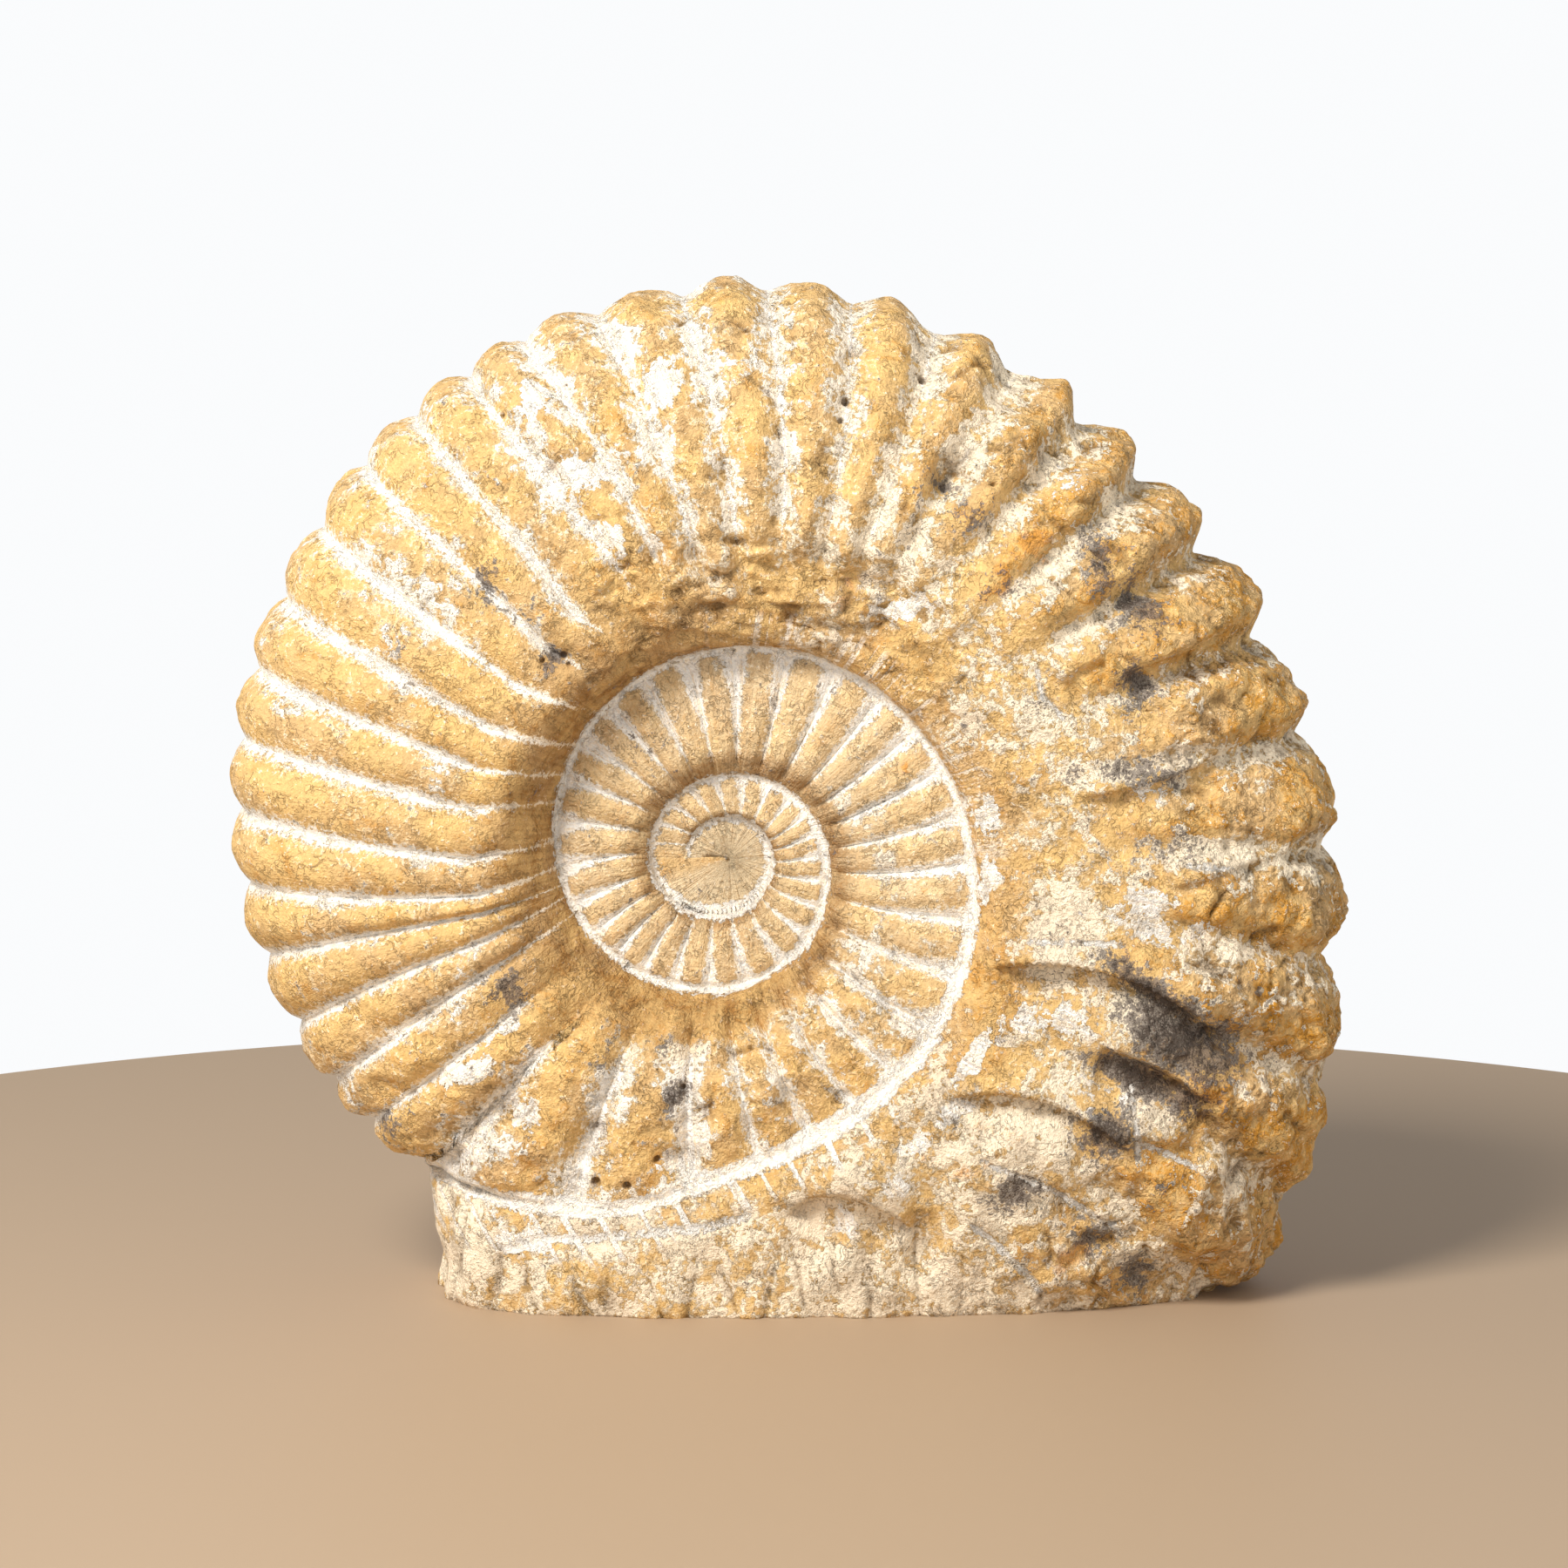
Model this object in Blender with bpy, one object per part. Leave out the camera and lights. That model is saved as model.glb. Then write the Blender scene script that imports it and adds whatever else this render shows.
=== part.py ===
"""Fossil ammonite: a ribbed coiled shell turned to stone, cut flat underneath so that it stands on its rim.

The stone is one closed solid. Its shape is worked out around the coil's centre, in millimetres:
- a turn counts the coil from its centre outward, clockwise as seen from the front, and is whole at the left;
- across is the place over a whorl, 0 at the seam towards the centre and 1 at its outer seam or at the rim;
- depth is the distance from the middle plane of the coil to the front or the back face.
Each table below is a list of (turn, value) pairs, and a smooth curve runs through its points.
"""
import itertools

import bmesh
import bpy
import numpy as np

MM = 0.001                    # one millimetre in metres

# ---- driving dimensions, millimetres ----
CENTRE_HEIGHT = 104.2         # the coil's centre above the flat cut
OPEN_TURN = 2.873             # turn where the outermost whorl leaves the foot and its rim comes free
SEAM_RADIUS = ((-0.03, 9.4), (0, 9.5), (0.25, 9.1), (0.5, 9.3), (0.75, 12.2), (1, 17.7), (1.25, 19.3),
               (1.5, 22.3), (1.75, 29.6), (2, 39.3), (2.25, 49), (2.5, 55.6), (2.6, 59.8), (2.7, 65.3),
               (2.75, 70.7), (2.8, 83.2), (2.85, 94.8), (OPEN_TURN, 103), (2.95, 150), (4, 400))
SEAM_DEPTH = ((0, 15), (1, 16.8), (1.5, 18.2), (2, 18.2), (2.25, 22), (2.5, 28.6), (2.6, 31), (2.75, 34),
              (2.8, 33.5), (2.84, 30), (2.86, 19), (OPEN_TURN, 0.2), (3, 0))
CREST_DEPTH = ((0, 15.2), (1, 16), (1.2, 17.5), (1.5, 19.5), (2, 21), (2.25, 24.5), (2.5, 30), (2.65, 33.5),
               (2.75, 35.5), (2.873, 37), (3, 38), (3.25, 40), (3.5, 43), (3.62, 43), (3.72, 39), (3.8, 36),
               (3.84, 31), (3.86, 20), (3.873, 3))
RIM_RADIUS = ((OPEN_TURN, 103), (2.886, 106), (2.928, 109.6), (3, 116.2), (3.071, 121.2), (3.138, 126.6),
              (3.2, 130.9), (3.274, 133.6), (3.348, 133), (3.398, 134.6), (3.457, 138.6), (3.517, 144.7),
              (3.547, 149.2), (3.577, 155.2), (3.608, 159.5), (3.633, 154), (3.667, 148), (3.722, 139),
              (3.78, 133), (3.82, 131.5), (3.838, 126.8), (3.8467, 118.4), (3.8606, 107), (3.873, 103))
RIB_NUMBER = ((1, -46.2), (1.027, -45.5), (1.22, -41.5), (1.371, -38.5), (1.49, -35.5), (1.622, -32.5),
              (1.773, -29.5), (1.854, -27.5), (1.954, -24.5), (2.074, -21.5), (2.216, -17.5),
              (2.366, -13.5), (2.498, -9.5), (2.641, -5.5), (2.768, -1.5), (2.818, -0.5), (2.868, 0.5),
              (2.886, 1), (2.928, 3), (2.978, 5), (3.026, 7), (3.071, 9), (3.119, 11), (3.161, 13),
              (3.2, 15), (3.249, 17), (3.297, 19), (3.348, 21), (3.398, 23), (3.457, 25), (3.517, 27),
              (3.577, 29), (3.608, 30), (3.7, 33), (3.9, 39))
RIB_LEAN = ((1, 0.02), (2, 0.02), (2.2, 0.009), (2.4, 0.012), (2.55, 0.02), (2.8, 0.02), (2.9, 0.01),
            (2.935, 0.025), (2.965, 0.015), (2.985, -0.01), (3.015, -0.011), (3.04, 0), (3.09, 0.004),
            (3.13, 0.013), (3.17, 0.021), (3.2, 0.036), (3.25, 0.026), (3.3, 0.015), (3.34, -0.01),
            (3.9, -0.014))
WALL_SWEEP = 0.06             # how much further on the ribs run where they climb out of the coil's hollow
RIB_SKEW = ((1, 0), (3.3, 0), (3.4, 0.6), (3.45, 0.75), (3.6, 0.75), (3.66, 0), (3.9, 0))
GROOVE_MIDDLE = ((1, 0), (1.1, 1), (1.5, 1.3), (2, 1.8), (2.4, 2.3), (2.6, 3), (2.75, 3.3), (2.9, 3.4), (3.2, 3.3),
                 (3.3, 3.2), (3.36, 3.2), (3.43, 3.2), (3.49, 2.4), (3.58, 2), (3.62, 1.2), (3.66, 0),
                 (3.9, 0))
GROOVE_RIM = ((1, 0), (1.1, 0.9), (1.5, 1.1), (2, 1.6), (2.4, 2.1), (2.75, 2.6), (2.89, 3.5), (3.2, 3.5),
              (3.33, 4.4), (3.38, 6.6), (3.44, 7), (3.49, 5), (3.55, 4.2), (3.59, 5), (3.63, 2.5),
              (3.66, 0), (3.9, 0))
RIB_SQUARENESS = ((1, 0.55), (2.7, 0.6), (2.9, 0.8), (3.15, 0.9), (3.25, 1.3), (3.4, 2), (3.66, 2))
RIB_START = ((1, 0), (2.6, 0), (2.8, 0.05), (3, 0.06), (3.25, 0.14), (3.4, 0.24), (3.66, 0.35))
RIB_FULL = ((1, 0.12), (2.6, 0.12), (2.8, 0.2), (3, 0.28), (3.25, 0.34), (3.4, 0.6), (3.66, 0.75))
WALL_WIDTH = ((0, 0.2), (1, 0.25), (1.5, 0.26), (2.2, 0.26), (2.4, 0.2), (2.6, 0.13), (2.75, 0.13),
              (2.9, 0.34), (3, 0.25), (3.12, 0.15), (3.25, 0.075), (3.5, 0.07), (3.7, 0.12), (3.8, 0.2),
              (3.86, 0.4))
WALL_SHARE = ((0, 1), (2, 0.85), (2.25, 0.65), (2.5, 0.35), (2.75, 0.3), (2.9, 0.8), (3, 0.97), (3.12, 0.85),
              (3.25, 0.66), (3.5, 0.38), (3.7, 0.8), (3.86, 0.9))
SHOULDER = ((0, 0.3), (2, 0.5), (2.25, 0.9), (2.5, 1), (2.75, 0.6), (2.9, 0.5), (3, 0.4), (3.25, 0.33),
            (3.5, 0.6), (3.7, 0.4), (3.86, 0.8))
SECTION_POWER = ((0, 8), (2.6, 8), (2.85, 3.4), (2.95, 2.8), (3.5, 2.9),
                 (3.58, 2.5), (3.63, 2.1), (3.68, 2.4), (3.74, 3), (3.82, 2.6), (3.873, 2.2))
CRUST = ((0, 0.1), (2, 0.3), (2.5, 0.35), (2.6, 0.55), (2.7, 0.8), (2.88, 0.7), (2.98, 0.3), (3.15, 0.35),
         (3.3, 0.7), (3.4, 1.15), (3.6, 1.3), (3.75, 0.8), (3.873, 0.5))
SEAM_GROOVE = 0.4             # depth of the cut line along each seam
SEAM_GROOVE_WIDTH = 1.8       # half its width
SEAM_CALM = 3.5               # how far from a seam the crust and the ribs come to their full height
BACK_FILL = 0.35              # share of the hollow over the coil that stone still fills on the back
WARP = 1.6                    # how far the stone's middle plane wanders

# lumps (+) and pits (-) of the front: right of the centre, above it, half width, half height, depth
LUMPS = (
    (32, -70, 13, 6, 2.6), (19, -85, 6, 8, -2.2), (64, -65, 17, 9, 2.8), (45, -89, 5, 10, -2),
    (109, -80, 14, 16, 3), (97, -48, 14, 5, -2.4), (92, -60, 10, 4, 1.6), (110, -28, 12, 9, 1.6),
    (115, -8, 11, 8, 1.8), (50, 89, 4, 5, -3.2), (-39, 48, 3.5, 3, -2.4), (-50, -27, 5, 5, -2),
    (-35, -67, 4, 4.5, -2.6), (-13, -68, 5, 4, -2.6), (-48, -56, 5.5, 5.5, -1.8), (40, 59, 12, 6, -1.8),
    (30, 66, 14, 4, -1.6), (70, 60, 12, 8, 1.4), (-62, -84, 10, 9, 1.5), (-25, -92, 9, 8, 1.2),
    (-80, -52, 5, 4, -2), (-66, -62, 6, 3.5, -2), (-72, -44, 7, 4, 1.6), (-58, -50, 5, 6, 1.6),
    (-86, -36, 4, 4, -1.5),
)

# ledges of the front, each along a bend from its left end by a middle handle to its right end (right of the
# centre, above it), and how far the stone above it overhangs the stone below
LEDGES = (
    ((58, -23), (91, -16), (115, -41), 3.4), ((84, -40), (97, -43), (111, -55), 2.8),
    ((48, -53), (72, -46), (93, -66), 2.6), ((79, 17), (99, 19), (117, 28), 2),
    ((89, 45), (105, 50), (121, 58), 1.8), ((13, -81), (24, -67), (44, -85), 2.2),
    ((75, 43), (80, 47), (86, 49), 1.2), ((99, -4), (115, 0), (133, 4), 1.1),
    ((119, -70), (128, -69), (134, -62), 1.2),
)
LEDGE_REACH = 7               # how far from a ledge the stone is raised above it and cut back below it
LEDGE_FACE = 1.3              # half the width of the face between the two
LEDGE_SAMPLES = 30

# ---- fineness of the mesh ----
COLUMNS = 900
FRONT_RINGS = 230
BACK_RINGS = 150
SECTION_SAMPLES = 700
FACES = 10100


def curve(points, x):
    """Value at x of a smooth curve through (position, value) pairs that never overshoots them."""
    place, value = np.array(points, float).T
    width = np.diff(place)
    slope = np.diff(value) / width
    product = slope[:-1] * slope[1:]
    total = slope[:-1] + slope[1:]
    inner = np.where(product > 0, 2 * product / np.where(total == 0, 1, total), 0)
    tangent = np.concatenate(([slope[0]], inner, [slope[-1]]))
    i = np.clip(np.searchsorted(place, x, side="right") - 1, 0, len(width) - 1)
    t = np.clip((x - place[i]) / width[i], 0, 1)
    rise = t * t * (3 - 2 * t) * (value[i + 1] - value[i])
    return value[i] + rise + width[i] * t * (1 - t) * ((1 - t) * tangent[i] - t * tangent[i + 1])


def step(low, high, x):
    """Smooth step from 0 at low to 1 at high."""
    t = np.clip((x - low) / (high - low), 0, 1)
    return t * t * (3 - 2 * t)


def ease(x):
    """Rise from 0 to 1 that is steep at first and level at the end."""
    return 1 - (1 - np.clip(x, 0, 1)) ** 2


def noise(points, size, seed):
    """Smooth gradient noise, about -1 to 1, whose lumps have the given size."""
    place = points / size + 31.7 * seed
    cell = np.floor(place).astype(np.int64)
    part = place - cell
    fade = part ** 3 * (part * (part * 6 - 15) + 10)
    total = 0
    for corner in itertools.product((0, 1), repeat=3):
        spot = cell + corner
        key = spot[..., 0] * 73856093 ^ spot[..., 1] * 19349663 ^ spot[..., 2] * 83492791
        key = key ^ seed * 2971215073
        key = ((key ^ (key >> 13)) * 1274126177) & 0xFFFFFFFF
        key = key ^ (key >> 16)
        weight = 1
        lean = 0
        for axis in range(3):
            gradient = ((key >> (10 * axis)) & 1023) / 511.5 - 1
            lean = lean + gradient * (part[..., axis] - corner[axis])
            weight = weight * (fade[..., axis] if corner[axis] else 1 - fade[..., axis])
        total = total + weight * lean
    return 1.5 * total


def rim_turn(phase):
    """Turn of the outermost whorl in the direction phase, a share of a turn."""
    return np.where(phase < OPEN_TURN - 2, phase + 3, phase + 2)


def locate(phase, radius):
    """Turn and place across the whorl of a point in the direction phase."""
    closed = phase < OPEN_TURN - 2
    rim = curve(RIM_RADIUS, rim_turn(phase))
    seams = [curve(SEAM_RADIUS, phase), curve(SEAM_RADIUS, phase + 1),
             np.where(closed, np.minimum(curve(SEAM_RADIUS, phase + 2), rim), np.inf)]
    count = sum((radius > seam).astype(int) for seam in seams)
    inner = np.choose(count, [np.zeros_like(rim)] + seams[:2] + [np.where(closed, seams[2], rim)])
    outer = np.choose(count, seams[:2] + [np.where(closed, seams[2], rim), rim])
    across = np.clip((radius - inner) / np.maximum(outer - inner, 0.001), 0, 1)
    return phase + count, across


def plain_depth(turn, across, fill):
    """Half thickness of the stone without ribs: umbilical wall, flank and roll over to the outer edge."""
    crest = curve(CREST_DEPTH, turn)
    low = curve(SEAM_DEPTH, np.maximum(turn - 1, 0))
    low = low + fill * (crest - low)
    edge = np.where(turn < OPEN_TURN, curve(SEAM_DEPTH, turn), 0)
    edge = edge + fill * (crest - edge) * (turn < 2.6)
    share = curve(WALL_SHARE, turn)
    rise = share * ease(across / curve(WALL_WIDTH, turn)) + (1 - share) * ease(across / curve(SHOULDER, turn))
    grown = step(0.95, 1.1, turn)
    top = low + (crest - low) * rise * grown
    inset = 0.05 * step(2.8, 3, turn)
    power = curve(SECTION_POWER, turn)
    fullness = 1 + (1 / power - 1) * step(2.8, OPEN_TURN, turn)
    roll = (1 - np.clip((across - inset) / (1 - inset), 0, 1) ** power) ** fullness
    return top + (edge - top) * (1 - roll) * grown


def rib_number(turn, across):
    """Number of the rib, whole on its crest: the ribs lean and bend as they cross the whorl."""
    sweep = WALL_SWEEP * np.clip(0.25 - across, 0, 1) * step(2.9, 3, turn)
    return curve(RIB_NUMBER, turn + curve(RIB_LEAN, turn) * (across - 1) - sweep)


def rib_groove(turn, across):
    """Depth of the grooves between the ribs."""
    number = rib_number(turn, across)
    number = number + curve(RIB_SKEW, turn) * (1 - np.cos(2 * np.pi * number)) / (2 * np.pi)
    section = 1 - np.abs(np.cos(np.pi * number)) ** curve(RIB_SQUARENESS, turn)
    middle = curve(GROOVE_MIDDLE, turn)
    depth = middle + (curve(GROOVE_RIM, turn) - middle) * step(0.5, 0.95, across)
    return depth * section * step(curve(RIB_START, turn), curve(RIB_FULL, turn), across)


def seam_gap(phase, radius):
    """Distance to the nearest seam between the whorls."""
    gap = np.full(radius.shape, np.inf)
    for whorl in range(3):
        turn = phase + whorl
        away = np.abs(radius - curve(SEAM_RADIUS, turn))
        gap = np.minimum(gap, np.where(turn < OPEN_TURN, away, np.inf))
    return gap


def ledges(points):
    """How far the stone stands out above the ledges of the front and is cut back below them."""
    total = np.zeros(points.shape[:-1])
    share = np.linspace(0, 1, LEDGE_SAMPLES)[:, None]
    for left, handle, right, overhang in LEDGES:
        start, middle, end = (np.array(spot, float) for spot in (left, handle, right))
        line = (1 - share) ** 2 * start + 2 * share * (1 - share) * middle + share ** 2 * end
        way = 2 * (1 - share) * (middle - start) + 2 * share * (end - middle)
        room = np.linalg.norm(end - start) / 2 + 3 * LEDGE_REACH
        close = np.linalg.norm(points - (start + end) / 2, axis=-1) < room
        offset = points[close][:, None] - line
        gaps = np.linalg.norm(offset, axis=-1)
        nearest = gaps.argmin(axis=-1)
        row = np.arange(len(nearest))
        gap = gaps[row, nearest]
        away = offset[row, nearest]
        along = way[nearest]
        above = np.sign(along[:, 0] * away[:, 1] - along[:, 1] * away[:, 0]) * gap
        ends = step(0, 0.15, share[nearest, 0]) * step(1, 0.85, share[nearest, 0])
        face = 2 * step(-LEDGE_FACE, LEDGE_FACE, above) - 1
        total[close] += overhang * ends * np.exp(-(gap / LEDGE_REACH) ** 2) * face
    return total


def relief(points, phase, radius, front):
    """How far the surface stands out (+) or is cut in (-) at each point, along its normal."""
    turn, across = locate(phase, radius)
    covered = step(2.6, 2.95, turn)
    height = -rib_groove(turn, across) * np.where(front, 1, 0.55 + 0.45 * step(0.3, 0.9, across) * covered)
    crust = curve(CRUST, turn) * np.where(front, 1, 1.15)
    flank = step(3.3, 3.4, turn) * step(3.68, 3.6, turn) * step(0.7, 0.4, across)
    crust = crust * (1 - 0.45 * flank)
    shelf_turns = step(3.16, 3.2, turn) * step(3.4, 3.34, turn)
    shelf = shelf_turns * step(0.02, 0.07, across) * step(0.36, 0.26, across)
    crust = crust + shelf * front
    height = height + crust * (1.8 * noise(points, 16, 1) + 1.3 * noise(points, 8, 2))
    height = height + 0.5 * noise(points, 26, 3) - 2.8 * shelf * front
    foot = step(3.64, 3.7, turn) * step(0.25, 0.45, across)
    drawn = points * np.array((1, 1, 0.3))
    height = height + foot * 1.3 * noise(drawn, 8, 4)
    for right, above, half_width, half_height, depth in LUMPS:
        spread = ((points[..., 0] - right) / half_width) ** 2 + ((points[..., 2] - above) / half_height) ** 2
        height = height + depth * np.exp(-spread) * front
    height = height + ledges(points[..., ::2]) * front
    gap = seam_gap(phase, radius)
    cut = SEAM_GROOVE * np.clip(1 - gap / SEAM_GROOVE_WIDTH, 0, 1) * step(0, 0.08, turn)
    return height * (0.2 + 0.8 * step(0, SEAM_CALM, gap)) - cut * np.where(front, 1, 0.4)


def section_rings(phase, rings, fill):
    """Radius and depth of rings set evenly along the section in each direction, from centre to rim."""
    share = 1 - (1 - np.linspace(0, 1, SECTION_SAMPLES)) ** 2.5
    rim = curve(RIM_RADIUS, rim_turn(phase))
    radius = rim[:, None] * share
    turn, across = locate(np.broadcast_to(phase[:, None], radius.shape), radius)
    depth = plain_depth(turn, across, fill)
    depth[:, -1] = 0
    length = np.cumsum(np.hypot(np.diff(radius), np.diff(depth)), axis=1)
    length = np.concatenate((np.zeros((len(phase), 1)), length), axis=1)
    target = np.linspace(0, 1, rings + 1)[1:]
    rows = [(np.interp(target * run[-1], run, r), np.interp(target * run[-1], run, d))
            for run, r, d in zip(length, radius, depth)]
    return np.array([row[0] for row in rows]).T, np.array([row[1] for row in rows]).T


def stone_points():
    """Grid of surface points, a row for each ring from the front's centre over the rim to the back's."""
    phase = np.arange(COLUMNS) / COLUMNS
    front_radius, front_depth = section_rings(phase, FRONT_RINGS, 0)
    back_radius, back_depth = section_rings(phase, BACK_RINGS, BACK_FILL)
    radius = np.concatenate((front_radius, back_radius[-2::-1]))
    depth = np.concatenate((front_depth, -back_depth[-2::-1]))
    angle = np.pi - 2 * np.pi * phase
    points = np.stack((radius * np.cos(angle), -depth, radius * np.sin(angle)), axis=-1)
    around = np.roll(points, -1, axis=1) - np.roll(points, 1, axis=1)
    along = np.gradient(points, axis=0)
    normal = np.cross(around, along)
    normal = normal / np.maximum(np.linalg.norm(normal, axis=-1, keepdims=True), 1e-9)
    front = (depth > 0) * 1.0
    front[FRONT_RINGS - 1] = 0.5
    height = relief(points, np.broadcast_to(phase, radius.shape), radius, front)
    points = points + normal * height[..., None]
    wander = noise(points * np.array((1, 0, 1)), 70, 5)
    points[..., 1] = points[..., 1] + WARP * wander
    return points


def stone_mesh(points):
    """Closed mesh over the grid of points, with a fan of triangles at the centre of each face."""
    rows, columns, _ = points.shape
    poles = (points[0].mean(axis=0), points[-1].mean(axis=0))
    vertices = np.concatenate((points.reshape(-1, 3), poles)) * MM
    index = np.arange(rows * columns).reshape(rows, columns)
    ahead = np.roll(index, -1, axis=1)
    quads = np.stack((index[:-1], index[1:], ahead[1:], ahead[:-1]), axis=-1).reshape(-1, 4)
    front_pole = rows * columns
    fans = [(front_pole, a, b) for a, b in zip(index[0], ahead[0])]
    fans += [(front_pole + 1, b, a) for a, b in zip(index[-1], ahead[-1])]
    mesh = bpy.data.meshes.new("ammonite")
    mesh.from_pydata(vertices.tolist(), [], quads.tolist() + [tuple(map(int, fan)) for fan in fans])
    return mesh


def simplified(mesh):
    """The mesh with fewer faces, kept small where the surface bends most."""
    whole = bpy.data.objects.new("whole", mesh)
    bpy.context.collection.objects.link(whole)
    triangles = 2 * len(mesh.polygons)
    fewer = whole.modifiers.new("Fewer faces", "DECIMATE")
    fewer.ratio = FACES / triangles
    graph = bpy.context.evaluated_depsgraph_get()
    result = bpy.data.meshes.new_from_object(whole.evaluated_get(graph))
    bpy.data.objects.remove(whole)
    return result


def cut_flat(mesh):
    """Cut the stone off level under the foot, and set the middle of its box over the origin."""
    shape = bmesh.new()
    shape.from_mesh(mesh)
    parts = shape.verts[:] + shape.edges[:] + shape.faces[:]
    level = (0, 0, -CENTRE_HEIGHT * MM)
    cut = bmesh.ops.bisect_plane(shape, geom=parts, dist=1e-6, plane_co=level, plane_no=(0, 0, 1),
                                 clear_inner=True)
    border = [item for item in cut["geom_cut"] if isinstance(item, bmesh.types.BMEdge)]
    bmesh.ops.edgenet_fill(shape, edges=border)
    bmesh.ops.recalc_face_normals(shape, faces=shape.faces)
    shape.to_mesh(mesh)
    shape.free()
    corners = np.array([vertex.co for vertex in mesh.vertices])
    low, high = corners.min(axis=0), corners.max(axis=0)
    for vertex in mesh.vertices:
        vertex.co.x -= (low[0] + high[0]) / 2
        vertex.co.y -= (low[1] + high[1]) / 2
        vertex.co.z -= low[2]


def limestone():
    """Ochre limestone with a dull surface."""
    material = bpy.data.materials.new("ochre limestone")
    material.use_nodes = True
    shader = material.node_tree.nodes["Principled BSDF"]
    shader.inputs["Base Color"].default_value = (0.62, 0.40, 0.17, 1)
    shader.inputs["Roughness"].default_value = 0.85
    shader.inputs["Metallic"].default_value = 0
    return material


for thing in list(bpy.data.objects):
    bpy.data.objects.remove(thing)
stone = simplified(stone_mesh(stone_points()))
cut_flat(stone)
stone.name = "ammonite"
stone.materials.append(limestone())
ammonite = bpy.data.objects.new("ammonite", stone)
bpy.context.collection.objects.link(ammonite)
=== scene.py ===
"""Looks of the fossil ammonite: the same stone in a finer mesh, its limestone colours, light and a camera.

The stone's own shape is worked out around the coil's centre, in millimetres, as in its CAD model:
- a turn counts the coil outward from its centre, clockwise from the front, and is whole at the left;
- across is the place over a whorl, 0 at the seam towards the centre and 1 at its outer seam or at the rim;
- depth is the distance from the middle plane of the coil to the front or the back face.
Each table of (turn, value) pairs is run through by a smooth curve.
"""
import itertools
import math

import bmesh
import bpy
import numpy as np
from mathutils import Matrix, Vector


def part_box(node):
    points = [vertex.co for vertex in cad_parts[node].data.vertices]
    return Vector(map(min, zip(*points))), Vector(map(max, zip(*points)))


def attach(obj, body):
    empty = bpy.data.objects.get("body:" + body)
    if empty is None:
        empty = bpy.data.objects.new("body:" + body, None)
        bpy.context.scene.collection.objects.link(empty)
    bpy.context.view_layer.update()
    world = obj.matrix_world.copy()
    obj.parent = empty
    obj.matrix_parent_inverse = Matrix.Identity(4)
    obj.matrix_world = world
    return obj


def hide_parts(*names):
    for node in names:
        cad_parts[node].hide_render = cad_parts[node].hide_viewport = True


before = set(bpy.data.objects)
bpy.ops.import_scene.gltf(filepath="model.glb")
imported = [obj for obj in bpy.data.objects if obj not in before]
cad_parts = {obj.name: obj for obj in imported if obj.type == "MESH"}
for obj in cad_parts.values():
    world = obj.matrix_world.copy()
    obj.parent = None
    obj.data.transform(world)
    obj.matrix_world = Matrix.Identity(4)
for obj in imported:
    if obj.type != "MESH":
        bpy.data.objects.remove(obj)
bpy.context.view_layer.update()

MM = 0.001                    # one millimetre in metres

# ---- driving dimensions, millimetres ----
CENTRE_HEIGHT = 104.2         # the coil's centre above the flat cut
OPEN_TURN = 2.873             # turn where the outermost whorl leaves the foot and its rim comes free
SEAM_RADIUS = ((-0.03, 9.4), (0, 9.5), (0.25, 9.1), (0.5, 9.3), (0.75, 12.2), (1, 17.7), (1.25, 19.3),
               (1.5, 22.3), (1.75, 29.6), (2, 39.3), (2.25, 49), (2.5, 55.6), (2.6, 59.8), (2.7, 65.3),
               (2.75, 70.7), (2.8, 83.2), (2.85, 94.8), (OPEN_TURN, 103), (2.95, 150), (4, 400))
SEAM_DEPTH = ((0, 15), (1, 16.8), (1.5, 18.2), (2, 18.2), (2.25, 22), (2.5, 28.6), (2.6, 31), (2.75, 34),
              (2.8, 33.5), (2.84, 30), (2.86, 19), (OPEN_TURN, 0.2), (3, 0))
CREST_DEPTH = ((0, 15.2), (1, 16), (1.2, 17.5), (1.5, 19.5), (2, 21), (2.25, 24.5), (2.5, 30), (2.65, 33.5),
               (2.75, 35.5), (2.873, 37), (3, 38), (3.25, 40), (3.5, 43), (3.62, 43), (3.72, 39), (3.8, 36),
               (3.84, 31), (3.86, 20), (3.873, 3))
RIM_RADIUS = ((OPEN_TURN, 103), (2.886, 106), (2.928, 109.6), (3, 116.2), (3.071, 121.2), (3.138, 126.6),
              (3.2, 130.9), (3.274, 133.6), (3.348, 133), (3.398, 134.6), (3.457, 138.6), (3.517, 144.7),
              (3.547, 149.2), (3.577, 155.2), (3.608, 159.5), (3.633, 154), (3.667, 148), (3.722, 139),
              (3.78, 133), (3.82, 131.5), (3.838, 126.8), (3.8467, 118.4), (3.8606, 107), (3.873, 103))
RIB_NUMBER = ((1, -46.2), (1.027, -45.5), (1.22, -41.5), (1.371, -38.5), (1.49, -35.5), (1.622, -32.5),
              (1.773, -29.5), (1.854, -27.5), (1.954, -24.5), (2.074, -21.5), (2.216, -17.5),
              (2.366, -13.5), (2.498, -9.5), (2.641, -5.5), (2.768, -1.5), (2.818, -0.5), (2.868, 0.5),
              (2.886, 1), (2.928, 3), (2.978, 5), (3.026, 7), (3.071, 9), (3.119, 11), (3.161, 13),
              (3.2, 15), (3.249, 17), (3.297, 19), (3.348, 21), (3.398, 23), (3.457, 25), (3.517, 27),
              (3.577, 29), (3.608, 30), (3.7, 33), (3.9, 39))
RIB_LEAN = ((1, 0.02), (2, 0.02), (2.2, 0.009), (2.4, 0.012), (2.55, 0.02), (2.8, 0.02), (2.9, 0.01),
            (2.935, 0.025), (2.965, 0.015), (2.985, -0.01), (3.015, -0.011), (3.04, 0), (3.09, 0.004),
            (3.13, 0.013), (3.17, 0.021), (3.2, 0.036), (3.25, 0.026), (3.3, 0.015), (3.34, -0.01),
            (3.9, -0.014))
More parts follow.
